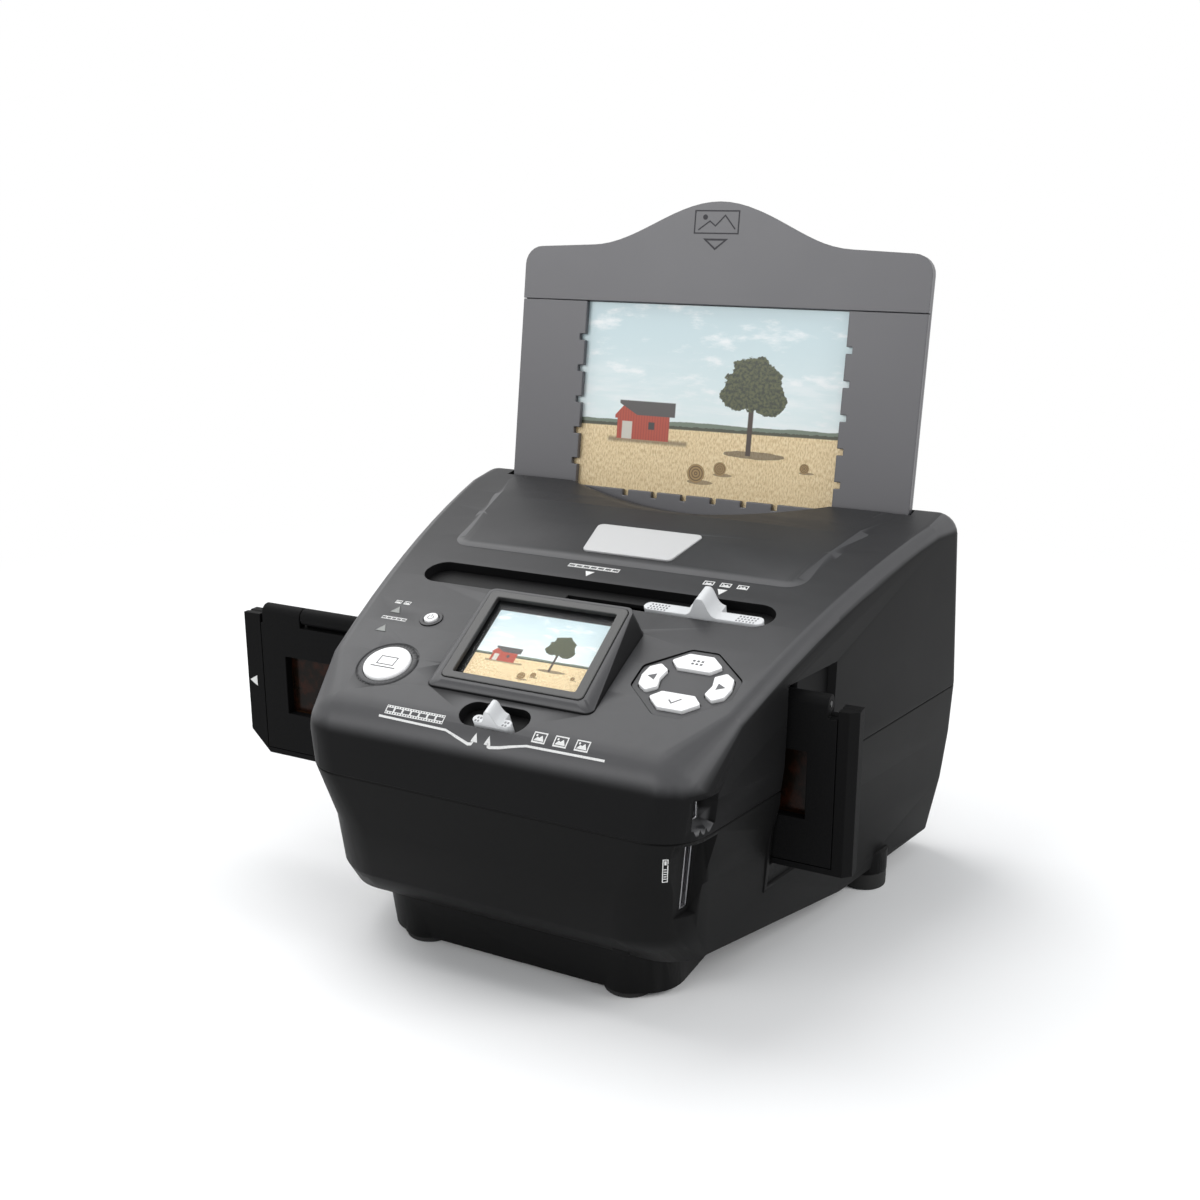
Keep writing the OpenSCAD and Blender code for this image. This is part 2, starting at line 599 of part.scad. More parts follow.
module button_boards() color([0.1, 0.32, 0.2]) {
    on_top(board_x, board_y) difference() {
        translate([-15, -22, board_z - board_t]) cube([30, 44, board_t]);
        translate([12, -19, board_z - 9]) cylinder(r = 1, h = 20, $fn = 24);
    }
    on_top(start_x, start_y) tact(0, 0);
    on_top(power_x, power_y) tact(0, 0);
    on_top(nav_x, nav_y) {
        translate([-15.6, -20.5, board_z - board_t]) cube([31.2, 41, board_t]);
        for (a = [0, 180]) rotate([0, 0, a]) {
            tact(key_mid[0], key_mid[1]);
            tact(side_mid[0], side_mid[1]);
        }
    }
}

// ---- slide switch tracks ----
module track(x0, x1, y, w, l, slit) color([0.05, 0.05, 0.05]) on_top(0, y, track_z - track_t)
    difference() {
        linear_extrude(track_t) obround(l + 3, w + 3);
        translate([x0, -slit / 2, -1]) cube([x1 - x0, slit, 9]);
    }
stem_l = 8;     stem_w = 3.4;
module mode_track() track(mode_x - mode_travel - stem_l / 2 - 1, mode_x + stem_l / 2 + 1,
    mode_y, mode_slot_w, mode_slot_l, stem_w + 0.8);
module lens_track() track(lens_x - lens_travel - 3, lens_x + 3,
    lens_y, lens_slot_w, lens_slot_l, 2.6);

// two wings and a thumb piece that rises out of them; y runs back from the knob's front edge
module knob(l, w, d, h, t, a) {
    linear_extrude(t) translate([0, w / 2]) obround(l, w);
    translate([0, d, 0]) rotate([90, 0, 0]) linear_extrude(d) polygon(concat(
        [for (i = [0:28]) let (u = abs(i / 14 - 1))
            [(i / 14 - 1) * a, t - e + h * (bell(u) - bell(1)) / (1 - bell(1))]],
        [[a, 0], [-a, 0]]));
}
function bell(u) = 1 / (1 + pow(u / 0.46, 4));      // blunt top, steep flanks, flared foot
knob_gap = 0.9;         // from the slot's front edge to the knob
knob_t = 0.6 - run - track_z;
module mode_knob() color([0.85, 0.86, 0.87]) {
    on_top(mode_x, mode_y, track_z + run) translate([0, knob_gap - mode_slot_w / 2, 0])
        knob(mode_knob_l, 5, 9.4, 7.2, knob_t, 6.2);
    on_top(mode_x, mode_y, track_z - track_t - 1) translate([-stem_l / 2, -stem_w / 2, 0])
        cube([stem_l, stem_w, track_t + 1 + run + e]);
}
carrier_z = top_z(mode_y) - 12;
light_x = mode_travel;  // backlight's middle at rest; it lies on the lens axis at the other end
light_h = frame_h + 10;
module mode_carriage() color([0.15, 0.15, 0.16]) {
    on_top(mode_x, mode_y, track_z - track_t - 1 - 2.4) translate([-9, -4.5, 0]) cube([18, 9, 2.4]);
    translate([mode_x - 5, light_y + light_t - 3, axis_z + light_h / 2])
        cube([10, 3, carrier_z - axis_z - light_h / 2 + 4]);
}
module backlight_box() color([0.9, 0.9, 0.88]) difference() {
    translate([light_x - light_half_w, light_y, axis_z - light_h / 2])
        cube([2 * light_half_w, light_t, light_h]);
    translate([light_x - light_half_w + 1.5, light_y - e, axis_z - light_h / 2 + 1.5])
        cube([2 * light_half_w - 3, light_t - 2, light_h - 3]);
}
module backlight_panel() color([0.97, 0.97, 0.95])
    translate([light_x - light_half_w + 1.6, light_y, axis_z - light_h / 2 + 1.6])
        cube([2 * light_half_w - 3.2, 1.5, light_h - 3.2]);

module lens_knob() color([0.85, 0.86, 0.87]) {
    on_top(lens_x, lens_y, track_z + run) translate([0, knob_gap - lens_slot_w / 2, 0])
        knob(15, 3.6, 6.4, 5.6, knob_t, 4.2);
    on_top(lens_x, lens_y, track_z - track_t - 0.6) translate([-2, -0.9, 0])
        cube([4, 1.8, track_t + 0.6 + run + e]);
}
fork_z = axis_z + lever_r;
module lens_fork() color([0.15, 0.15, 0.16]) difference() {
    union() {
        on_top(lens_x, lens_y, track_z - track_t - 0.6 - 1.8) translate([-5, -3, 0]) cube([10, 6, 1.8]);
        translate([lens_x - 5, lens_y + 1, fork_z - 1.25]) cube([10, ring_y + ring_w - lens_y - 1, 2.5]);
        translate([lens_x - 4.5, lens_y + 1.5, fork_z - 1]) cube([9, 2.4, top_z(lens_y) - 7 - fork_z]);
    }
    translate([lens_x - 1.9, ring_y - 0.5, fork_z - 5]) cube([3.8, ring_w + 4, 10]);
}
lever_a = atan(lens_x / lever_r);
module focus_ring() color([0.25, 0.25, 0.27]) difference() {
    union() {
        rod_y(ring_y, ring_y + ring_w, 0, axis_z, 11);
        translate([0, ring_y + 1, axis_z]) rotate([0, lever_a, 0])
            translate([-1.25, 0, 9]) cube([2.5, ring_w - 2, lever_r - 9 + 2.5]);
    }
    rod_y(ring_y - 1, ring_y + ring_w + 1, 0, axis_z, barrel_r + fit);
}

// ---- camera ----
module camera_bracket() color([0.3, 0.3, 0.3]) difference() {
    union() {
        // foot plate, two cheeks and the upright plate that holds the lens
        translate([-18, mount_y + 9, plinth_z + wall]) cube([36, 22, 3]);
        translate([-18, mount_y, nose_z + 6]) cube([36, 4, axis_z + 12 - nose_z - 6]);
        for (x = [-18, 15]) {
            translate([x, mount_y + 9, plinth_z + wall]) cube([3, 11, 30]);
            translate([x, mount_y, nose_z + 6]) cube([3, 18, 20]);
        }
    }
    rod_y(mount_y - 1, mount_y + 6, 0, axis_z, 5.5);
}
module sensor_board() color([0.1, 0.3, 0.2]) {
    translate([-14, mount_y - 1.6, axis_z - 13]) cube([28, 1.6, 24]);
    translate([-3.5, mount_y - e, axis_z - 3]) cube([7, 1.2, 6]);
}
module lens_barrel() color([0.1, 0.1, 0.1]) difference() {
    rod_y(mount_y + 4, -52, 0, axis_z, barrel_r);
    rod_y(mount_y + 3, -58, 0, axis_z, 5);
    rod_y(-55, -51, 0, axis_z, 6);
}

// ---- film guide ----
module film_guide() color([0.16, 0.16, 0.17]) difference() {
    union() {
        translate([-76, guide_front, film_z - run - guide_t])
            cube([152, guide_back - guide_front, film_h - 6]);
        for (s = [-1, 1]) {
            translate([s * guide_x - 6, guide_front, pad_z]) cube([12, guide_back - guide_front, 3]);
            for (y = [guide_front, guide_back - 2])
                translate([s * guide_x - 6, y, pad_z]) cube([12, 2, film_z - pad_z - 1]);
        }
    }
    translate([-80, film_y - run, film_z - run]) cube([160, film_t + 2 * run, film_h]);
    translate([-frame_w / 2 - 3, guide_front - 1, axis_z - frame_h / 2 - 3])
        cube([frame_w + 6, 40, frame_h + 6]);
    for (s = [-1, 1]) translate([s * guide_x, guide_y, pad_z - 1])
        cylinder(r = screw_r + 0.3, h = 6, $fn = 32);
}

// ---- photo guide and lighting ----
rail_x = holder_w / 2 + 0.4;
rail_low = -holder_depth - holder_in;
module photo_guide() color([0.16, 0.16, 0.17]) {
    sides() at_holder() difference() {
        translate([rail_x - 5, -run - rail_t, rail_low - 4])
            cube([5 + rail_t, holder_t + 2 * (run + rail_t), -rail_low - 6]);
        translate([rail_x - 9, -run, rail_low]) cube([9, holder_t + 2 * run, 200]);
    }
    at_holder() translate([-rail_x, -run - rail_t, rail_low - 4])
        cube([2 * rail_x, holder_t + 2 * (run + rail_t), 4 - run]);
    sides() translate([guide_x - 5, leg_y, floor_z + wall]) cube([10, 6, leg_h]);
}
leg_y = holder_y + rail_low * sin(holder_lean) - 1;
leg_h = top_z(holder_y) + (rail_low - 3) * cos(holder_lean) - floor_z - wall;
module photo_lamps() color([0.92, 0.92, 0.9]) sides() {
    translate([pillar_x - 13.2, pillar_y - 6, floor_z + wall]) cube([8.8, 2, 92]);
    for (i = [0:5]) translate([pillar_x - 10.8, pillar_y - 4 - e, floor_z + wall + 12 + i * 14])
        cube([4, 1.4, 4]);
}

// ---- boards and sockets ----
module main_board() color([0.1, 0.32, 0.2]) {
    translate([-62, stand_y[0] - 6, floor_z + 6]) cube([124, 38, board_t]);
    translate([-20, stand_y[0] + 4, floor_z + 6 + board_t - e]) cube([16, 16, 1.4]);
    translate([8, stand_y[0] + 6, floor_z + 6 + board_t - e]) cube([12, 10, 1.2]);
}
module port_board() color([0.1, 0.32, 0.2])
    translate([44, port_y - 1.6, card_z - 14]) cube([17.5, 1.6, data_z + 8 - card_z + 14]);
module data_socket() color([0.75, 0.76, 0.78]) at_data() difference() {
    translate([-port_d - 3 - 9, -data_t / 2, -data_l / 2]) cube([9 + 3 + 1.5, data_t, data_l]);
    translate([-port_d - 3 - 8, -data_t / 2 + 0.4, -data_l / 2 + 0.4])
        cube([30, data_t - 0.8, data_l - 0.8]);
}
module data_tongue() color([0.1, 0.1, 0.1]) at_data()
    translate([-port_d - 3 - 8, -0.6, -2.6]) cube([11, 1.2, 5.2]);
module card_socket() color([0.7, 0.71, 0.73]) at_card() difference() {
    translate([-card_d - 1.4 - 26, card_in - card_t / 2, -card_slot / 2 - 0.5])
        cube([26 + 1.2, card_t, card_slot + 1]);
    translate([-card_d - 1.4 - 24, card_in - card_t / 2 + 0.6, -card_slot / 2])
        cube([40, card_t - 1.2, card_slot]);
}

// ================= photo holder =================
hump_k = 59;            // half width of the hump's foot
crown = 2.1;            // rise of the shoulders towards the hump
shoulder = holder_w / 2 - 8;
function hump(x) = crown * (1 - pow(x / shoulder, 2))
    + (abs(x) >= hump_k ? 0 : (hump_h - crown) * pow(cos(90 * x / hump_k), 2));
plate_top = concat(
    [for (i = [0:5]) let (a = i * 15) [holder_w / 2 - 8 + 8 * cos(a), holder_h - 8 + 8 * sin(a)]],
    [for (i = [20:-1:-20]) let (x = i / 20 * shoulder) [x, holder_h + hump(x)]],
    [for (i = [5:-1:0]) let (a = 180 - i * 15)
        [-holder_w / 2 + 8 + 8 * cos(a), holder_h - 8 + 8 * sin(a)]]);
module photo_back() color([0.36, 0.36, 0.39]) at_holder(-holder_depth) {
    difference() {
        translate([0, holder_t, 0]) rotate([90, 0, 0]) linear_extrude(holder_t)
            polygon(concat([[-holder_w / 2, 0], [holder_w / 2, 0]], plate_top));
        translate([-200, -1, -1]) cube([400, frame_t + 1, seam_s + 1]);
        translate([-print_w / 2 - 0.2, frame_t - e, win_low - 5.2])
            cube([print_w + 0.4, 0.4, seam_s - win_low + 5]);
    }
}
notch = 2.7;
module photo_frame() color([0.36, 0.36, 0.39]) at_holder(-holder_depth) difference() {
    translate([-holder_w / 2, 0, 0]) cube([holder_w, frame_t - e, seam_s - 0.3]);
    translate([-window_w / 2, -1, win_low]) cube([window_w, 9, 200]);
    for (s = [-1, 1], i = [0:4]) translate([s * window_w / 2 - notch, -1, win_low + 9.1 + 13.75 * i])
        cube([2 * notch, 9, notch]);
    for (i = [-2.5:2.5]) translate([i * 14 - notch / 2, -1, win_low - notch])
        cube([notch, 9, 2 * notch]);
}
module photo_print() color([0.75, 0.8, 0.8]) at_holder(-holder_depth)
    translate([-print_w / 2, frame_t + 0.05, win_low - 5]) cube([print_w, 0.3, seam_s - win_low + 4.6]);

// ================= film holder =================
cover_t = film_t / 2 - 0.1;
lid_x0 = -film_left + 8.5;
lid_x1 = film_right - 7;
barrel_z = film_z + film_h - 3.5;
hinge_y = film_y + 3.5;
lid_top = barrel_z - 4.2;
knuckle = [lid_x0 + 0.8, -123.3, -61.5, 20, 71, lid_x1 - 3.2];
module film_windows() for (i = [-3:2])
    translate([i * frame_pitch - frame_w / 2, film_y - 5, axis_z - frame_h / 2])
        cube([frame_w, 40, frame_h]);
module knuckles(k) for (i = k) rod_x(knuckle[i] + 0.25, knuckle[i + 1] - 0.25, hinge_y, barrel_z, 3.5);
module film_base() color([0.1, 0.1, 0.1]) difference() {
    union() {
        // back half, bottom rim and the two full ends
        translate([-film_left, film_y + cover_t + 0.1, film_z])
            cube([film_left + film_right, film_t - cover_t - 0.1, lid_top - film_z]);
        translate([-film_left, film_y, film_z]) cube([film_left + film_right, film_t, 2.2]);
        translate([-film_left, film_y, film_z]) cube([8.2, film_t, film_h - 4.3]);
        translate([lid_x1 + 0.3, film_y, film_z]) cube([film_right - lid_x1 - 0.3, film_t, film_h - 4.3]);
        for (i = [1, 3]) translate([knuckle[i] + 0.25, film_y + cover_t + 0.1, lid_top - 1])
            cube([knuckle[i + 1] - knuckle[i] - 0.5, film_t - cover_t - 0.1, barrel_z - lid_top + 1]);
        knuckles([1, 3]);
    }
    film_windows();
    translate([-frame_pitch * 3.5, film_y + cover_t, axis_z - 17.7]) cube([frame_pitch * 6 + 0.4, 0.5, 35.4]);
    rod_x(-300, 300, hinge_y, barrel_z, 1.25);
    // chamfered lower left corner, bevelled right end
    translate([-film_left, 0, film_z]) rotate([0, 45, 0]) cube([13, 200, 13], center = true);
    translate([film_right, film_y, 0]) rotate([0, 0, 45]) cube([4, 4, 400], center = true);
}
module film_cover() color([0.1, 0.1, 0.1]) difference() {
    union() {
        translate([lid_x0, film_y, film_z + 2.5]) cube([lid_x1 - lid_x0, cover_t, lid_top - film_z - 2.5]);
        for (i = [0, 2, 4]) translate([knuckle[i] + 0.25, film_y, lid_top - 1])
            cube([knuckle[i + 1] - knuckle[i] - 0.5, 3.5, barrel_z - lid_top + 1]);
        knuckles([0, 2, 4]);
    }
    film_windows();
    rod_x(-300, 300, hinge_y, barrel_z, 1.25);
}
module film_pin() color([0.7, 0.7, 0.72])
    rod_x(knuckle[0] + 0.25, knuckle[5] - 0.25, hinge_y, barrel_z, 1.2);
module film_strip() color([0.5, 0.25, 0.1])
    translate([-frame_pitch * 3.5 + 0.2, film_y + cover_t + 0.1, axis_z - 17.5]) cube([frame_pitch * 6, 0.3, 35]);

place() lower_housing();
place() upper_housing();
place() rubber_feet();
place() foot_screws();
place() case_screws();
place() display_pod();
place() display_frame();
place() display_glass();
place() display_module();
place() name_plate();
place() power_ring();
place() indicator_pipes();
place() mode_track();
place() lens_track();
place() nav_plate();
place() button_boards();
place() main_board();
place() film_guide();
place() guide_screws();
place() photo_guide();
place() photo_lamps();
place() camera_bracket();
place() sensor_board();
place() lens_barrel();
place() port_board();
place() data_socket();
place() data_tongue();
place() card_socket();
place() photo_back();
place() photo_frame();
place() photo_print();
place() film_base();
place() film_cover();
place() film_pin();
place() film_strip();
place() mode_knob();
place() mode_carriage();
place() backlight_box();
place() backlight_panel();
place() lens_knob();
place() lens_fork();
place() focus_ring();
place() start_button();
place() power_button();
place() key_top();
place() key_bottom();
place() key_left();
place() key_right();
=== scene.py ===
"""Desk-top film and photo scanner: finishes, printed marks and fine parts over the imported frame."""
import json
import math

import bpy
from mathutils import Matrix, Vector


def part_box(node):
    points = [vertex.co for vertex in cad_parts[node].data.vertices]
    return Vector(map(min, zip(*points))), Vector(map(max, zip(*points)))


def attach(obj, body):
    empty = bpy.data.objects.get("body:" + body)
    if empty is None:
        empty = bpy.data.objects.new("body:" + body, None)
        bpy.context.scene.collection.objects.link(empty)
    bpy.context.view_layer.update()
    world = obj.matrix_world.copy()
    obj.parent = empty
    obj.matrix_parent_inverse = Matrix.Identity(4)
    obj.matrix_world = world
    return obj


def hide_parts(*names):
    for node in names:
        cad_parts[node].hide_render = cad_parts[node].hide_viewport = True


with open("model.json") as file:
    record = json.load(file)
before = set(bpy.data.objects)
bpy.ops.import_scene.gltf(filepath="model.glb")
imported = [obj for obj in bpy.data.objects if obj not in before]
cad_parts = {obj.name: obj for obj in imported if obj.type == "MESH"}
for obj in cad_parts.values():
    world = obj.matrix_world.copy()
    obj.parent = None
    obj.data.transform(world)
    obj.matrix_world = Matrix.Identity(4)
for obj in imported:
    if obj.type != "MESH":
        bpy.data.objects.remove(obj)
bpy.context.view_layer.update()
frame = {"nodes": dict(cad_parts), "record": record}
nodes = frame["nodes"]
MM = 0.001

# ---- datum: the middle of the scanner's plan, at table height; sizes in mm ----
FILM_LEFT, FILM_REACH = 152.4, 38           # from the datum to the film holder's end and face
film_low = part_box("film_base")[0]
DATUM = Vector((film_low.x + FILM_LEFT * MM, film_low.y + FILM_REACH * MM, 0))
FLARE = math.atan(0.19)                     # the side walls open towards the back
LEAN = math.radians(8.5)                    # of the photo holder, backwards
HOLDER_Y = 82                               # of the photo holder's slot
ARCH_R = 570.0                              # the panel's curve, and two points on it
ARCH_A, ARCH_B = Vector((-94, 98.8)), Vector((90, 148.4))


def arch_middle():
    span = ARCH_B - ARCH_A
    back = Vector((span.y, -span.x)).normalized()
    return (ARCH_A + ARCH_B) / 2 + back * math.sqrt(ARCH_R ** 2 - span.length_squared / 4)


ARCH_C = arch_middle()


def at(x, y, z):
    """A point in mm from the scanner's datum, in the frame."""
    return DATUM + Vector((x, y, z)) * MM


def arch_z(y):
    return ARCH_C.y + math.sqrt(ARCH_R ** 2 - (ARCH_C.x - y) ** 2)


def on_panel(x, y, up=0.0):
    tilt = math.asin((ARCH_C.x - y) / ARCH_R)
    return (Matrix.Translation(at(x, y, arch_z(y))) @ Matrix.Rotation(tilt, 4, "X")
            @ Matrix.Translation((0, 0, up * MM)))


def on_holder(x, s, out=0.0):
    """On the photo holder's front face, s mm above the slot."""
    return (Matrix.Translation(at(x, HOLDER_Y, arch_z(HOLDER_Y)))
            @ Matrix.Rotation(math.pi / 2 - LEAN, 4, "X")
            @ Matrix.Translation((0, s * MM, out * MM)))


def on_film_face(x, z, out=0.0):
    return Matrix.Translation(at(x, -FILM_REACH - out, z)) @ Matrix.Rotation(math.pi / 2, 4, "X")


# ---- camera ----
CAMERA_AT = (239, -473.6, 273)              # mm from the datum
CAMERA_DOWN, CAMERA_ROUND = 16.13, 27.3     # degrees
CAMERA_LENS = 42.66


def add_camera():
    lens = bpy.data.cameras.new("studio_camera")
    lens.lens = CAMERA_LENS
    lens.sensor_width = 36
    lens.clip_start, lens.clip_end = 0.01, 50
    camera = bpy.data.objects.new("studio_camera", lens)
    camera.location = at(*CAMERA_AT)
    camera.rotation_euler = (math.radians(90 - CAMERA_DOWN), 0, math.radians(CAMERA_ROUND))
    bpy.context.scene.collection.objects.link(camera)
    bpy.context.scene.camera = camera


add_camera()


# ---- shader maths ----
class Value:
    """A number that changes over a surface; its operators add Math nodes."""

    def __init__(self, finish, socket):
        self.finish, self.socket = finish, socket

    def _math(self, operation, *terms, clamp=False):
        return self.finish.node("ShaderNodeMath", {"operation": operation, "use_clamp": clamp},
                                dict(enumerate(terms)))

    def __add__(self, other):
        return self._math("ADD", self, other)

    __radd__ = __add__

    def __sub__(self, other):
        return self._math("SUBTRACT", self, other)

    def __rsub__(self, other):
        return self._math("SUBTRACT", other, self)

    def __mul__(self, other):
        return self._math("MULTIPLY", self, other)

    __rmul__ = __mul__

    def __truediv__(self, other):
        return self._math("DIVIDE", self, other)

    def __pow__(self, power):
        return self._math("POWER", self, power)

    def above(self, level, soft=0.0):
        """1 where this is over the level, with an edge as soft as given."""
        if not soft:
            return self._math("GREATER_THAN", self, level)
        return self.finish.node("ShaderNodeMapRange", {"interpolation_type": "SMOOTHSTEP"},
                                {0: self, 1: level - soft, 2: level + soft, 3: 0.0, 4: 1.0})

    def below(self, level, soft=0.0):
        return 1 - self.above(level, soft)

    def size(self):
        return self._math("ABSOLUTE", self)

    def wrap(self, step):
        """The place within a pattern that repeats each step."""
        return self._math("FLOORED_MODULO", self, step)

    def most(self, other):
        return self._math("MAXIMUM", self, other)

    def root(self):
        return self._math("SQRT", self)


class Finish:
    """One material, with its Principled surface."""

    def __init__(self, name, **constants):
        self.material = bpy.data.materials.new(name)
        self.material.use_nodes = True
        tree = self.material.node_tree
        self.nodes, self.links = tree.nodes, tree.links
        self.surface = next(n for n in self.nodes if n.type == "BSDF_PRINCIPLED")
        self.place = None
        for socket, value in constants.items():
            self.surface.inputs[socket.replace("_", " ")].default_value = value

    def node(self, kind, settings=None, inputs=None, out=0):
        made = self.nodes.new(kind)
        for key, value in (settings or {}).items():
            if key == "stops":
                ramp = made.color_ramp
                while len(ramp.elements) < len(value):
                    ramp.elements.new(0.5)
                for element, (position, colour) in zip(ramp.elements, value):
                    element.position, element.color = position, (*colour, 1)
            else:
                setattr(made, key, value)
        for key, value in (inputs or {}).items():
            if isinstance(value, Value):
                self.links.new(value.socket, made.inputs[key])
            else:
                made.inputs[key].default_value = value
        return Value(self, made.outputs[out])

    def spot(self):
        """Object coordinates, which are the frame's own."""
        if self.place is None:
            self.place = self.node("ShaderNodeTexCoord", out="Object")
        return self.place

    def axes(self):
        """The three coordinates in mm from the datum."""
        split = self.node("ShaderNodeSeparateXYZ", {}, {0: self.spot()}).socket.node
        return [(Value(self, split.outputs[i]) - DATUM[i]) * 1000.0 for i in range(3)]

    def noise(self, size, detail=2.0, rough=0.5, stretch=None):
        """Noise with cells of about that many mm."""
        spot = self.spot()
        if stretch:
            spot = self.node("ShaderNodeVectorMath", {"operation": "MULTIPLY"},
                             {0: spot, 1: stretch})
        return self.node("ShaderNodeTexNoise", {},
                         {"Vector": spot, "Scale": 1 / (size * MM), "Detail": detail,
                          "Roughness": rough})

    def cells(self, size):
        return self.node("ShaderNodeTexVoronoi", {"feature": "F1"},
                         {"Vector": self.spot(), "Scale": 1 / (size * MM)})

    def mix(self, factor, first, second):
        """Colours from first to second; each is a colour or a link."""
        full = [c if isinstance(c, Value) else (*c, 1) for c in (first, second)]
        made = self.node("ShaderNodeMix", {"data_type": "RGBA"},
                         {0: factor, 6: full[0], 7: full[1]})
        return Value(self, made.socket.node.outputs[2])

    def facing_up(self, low, high):
        """1 where the surface faces up, 0 where it stands upright or hangs over."""
        split = self.node("ShaderNodeSeparateXYZ", {},
                          {0: self.node("ShaderNodeTexCoord", out="Normal")}).socket.node
        return self.node("ShaderNodeMapRange", {"interpolation_type": "SMOOTHSTEP"},
                         {0: Value(self, split.outputs[2]), 1: low, 2: high, 3: 0.0, 4: 1.0})

    def rounded(self, radius):
        """The surface's normal with its edges rounded."""
        return self.node("ShaderNodeBevel", {"samples": 4}, {"Radius": radius * MM})

    def edges(self, normal, low=0.01, high=0.16):
        """1 along the edges of the rounded normal."""
        true = self.node("ShaderNodeNewGeometry", out="Normal")
        dot = self.node("ShaderNodeVectorMath", {"operation": "DOT_PRODUCT"},
                        {0: normal, 1: true}).socket.node
        turn = 1 - Value(self, dot.outputs["Value"])
        return self.node("ShaderNodeMapRange", {"interpolation_type": "SMOOTHSTEP"},
                         {0: turn, 1: low, 2: high, 3: 0.0, 4: 1.0})

    def bump(self, height, depth, normal=None):
        inputs = {"Height": height, "Distance": depth * MM, "Strength": 1.0}
        if normal is not None:
            inputs["Normal"] = normal
        return self.node("ShaderNodeBump", {}, inputs)

    def feed(self, **sockets):
        for name, value in sockets.items():
            socket = self.surface.inputs[name.replace("_", " ")]
            if isinstance(value, Value):
                self.links.new(value.socket, socket)
            else:
                socket.default_value = value
        return self.material


def tinted(colour, k):
    return tuple(min(1.0, c * k) for c in colour)


FLAT_FROM, FLAT_TO, FLAT_LOSS = 0.925, 0.975, 0.6   # flat tops get less of the painted sheen and of the lacquer coat, which paints shade on them


def moulded(name, colour, rough, grain=0.25, depth=0.008, edge=0.35, wear_and_highlight=1.5, specular=0.5,
            cloud=0.10, lacquer=0.0, dust_and_sheen=0.0):
    """Moulded plastic: fine spark grain, faint clouds in colour and gloss, paler edges that are
    partly rubbed wear and partly a painted highlight.
    Lacquer is a satin coat on what faces up, and a paler colour there is a painted sheen; flat tops
    get less of both, which paints shade on them."""
    f = Finish(name, Specular_IOR_Level=specular, Coat_Roughness=0.36)
    soft = f.rounded(edge)
    rubbed_highlit_edges = f.edges(soft)
    clouds = f.noise(38, 3.0)
    fine = f.noise(grain, 2.0)
    streaks = f.noise(9, 4.0, 0.6)
    tone = f.mix(clouds, tinted(colour, 1 - cloud), tinted(colour, 1 + cloud))
    tone = f.mix(fine * 0.35, tone, tinted(colour, 1.25))
    # paler along the edges: partly rubbed wear, partly a painted highlight
    tone = f.mix(rubbed_highlit_edges * (0.25 + 0.5 * streaks), tone, tinted(colour, wear_and_highlight))
    # flat tops lose part of the lacquer coat and of the painted sheen: painted shade on them
    if dust_and_sheen or lacquer:
        tilted = 1.0 - FLAT_LOSS * f.facing_up(FLAT_FROM, FLAT_TO)
    # a paler colour on what faces up, less on flat tops: a painted sheen
    if dust_and_sheen:
        painted_sheen_mask = f.facing_up(0.14, 0.46) * tilted * (0.85 + 0.3 * streaks)
        tone = f.mix(painted_sheen_mask, tone, tinted(colour, 1 + dust_and_sheen / colour[0]))
    gloss = rough - 0.03 + 0.08 * clouds + 0.06 * (fine - 0.5) - 0.06 * rubbed_highlit_edges
    if lacquer:
        f.feed(Coat_Weight=f.facing_up(0.10, 0.50) * tilted * (lacquer + 0.1 * (clouds - 0.5)))
    return f.feed(Base_Color=tone, Roughness=gloss, Normal=f.bump(fine, depth, soft))


def metal(name, colour, rough, brushed=(1, 12, 12), size=0.6, edge=0.25):
    f = Finish(name, Metallic=1.0)
    soft = f.rounded(edge)
    lines = f.noise(size, 3.0, 0.6, stretch=brushed)
    clouds = f.noise(6, 3.0)
    tone = f.mix(lines, tinted(colour, 0.82), tinted(colour, 1.08))
    tone = f.mix(f.edges(soft) * 0.5, tone, tinted(colour, 1.2))
    return f.feed(Base_Color=tone, Roughness=rough - 0.05 + 0.12 * lines + 0.06 * clouds,
                  Normal=f.bump(lines, 0.004, soft))


SATIN = moulded("panel_satin_black", (0.0075, 0.0075, 0.0078), 0.46, edge=0.5, wear_and_highlight=1.8,
                specular=0.06, lacquer=0.30, dust_and_sheen=0.058)
SHELL = moulded("shell_satin_black", (0.0042, 0.0042, 0.0043), 0.48, edge=0.5, wear_and_highlight=2.0,
                specular=0.09)
POD = moulded("display_hood_black", (0.0085, 0.0085, 0.009), 0.40, edge=0.5, wear_and_highlight=1.8,
              specular=0.2, lacquer=0.25, dust_and_sheen=0.040)
DARK = moulded("inner_matt_black", (0.005, 0.005, 0.0053), 0.6, specular=0.2)
GUIDE = moulded("guide_black", (0.008, 0.008, 0.0085), 0.55, grain=0.4, specular=0.3)
BRACKET = moulded("bracket_grey", (0.08, 0.08, 0.085), 0.5)
HOLDER = moulded("holder_slate_grey", (0.060, 0.059, 0.066), 0.42, grain=0.22, depth=0.003,
                 edge=0.4, wear_and_highlight=1.35, cloud=0.05, specular=0.8)
FILM_BLACK = moulded("film_holder_spark_black", (0.0052, 0.0052, 0.0054), 0.60, grain=0.7,
                     depth=0.06, edge=0.4, wear_and_highlight=3.0, specular=0.05)
BEZEL = moulded("display_bezel_grey", (0.024, 0.024, 0.0235), 0.40, grain=0.2, depth=0.004,
                wear_and_highlight=1.5)
KEY_WHITE = moulded("key_white", (0.80, 0.80, 0.80), 0.34, grain=0.3, depth=0.003, edge=0.5,
                    wear_and_highlight=1.08, cloud=0.03)
SLIDER_WHITE = moulded("slider_pearl", (0.60, 0.61, 0.62), 0.34, grain=0.3, depth=0.004, edge=0.7,
                       wear_and_highlight=1.2, cloud=0.04)
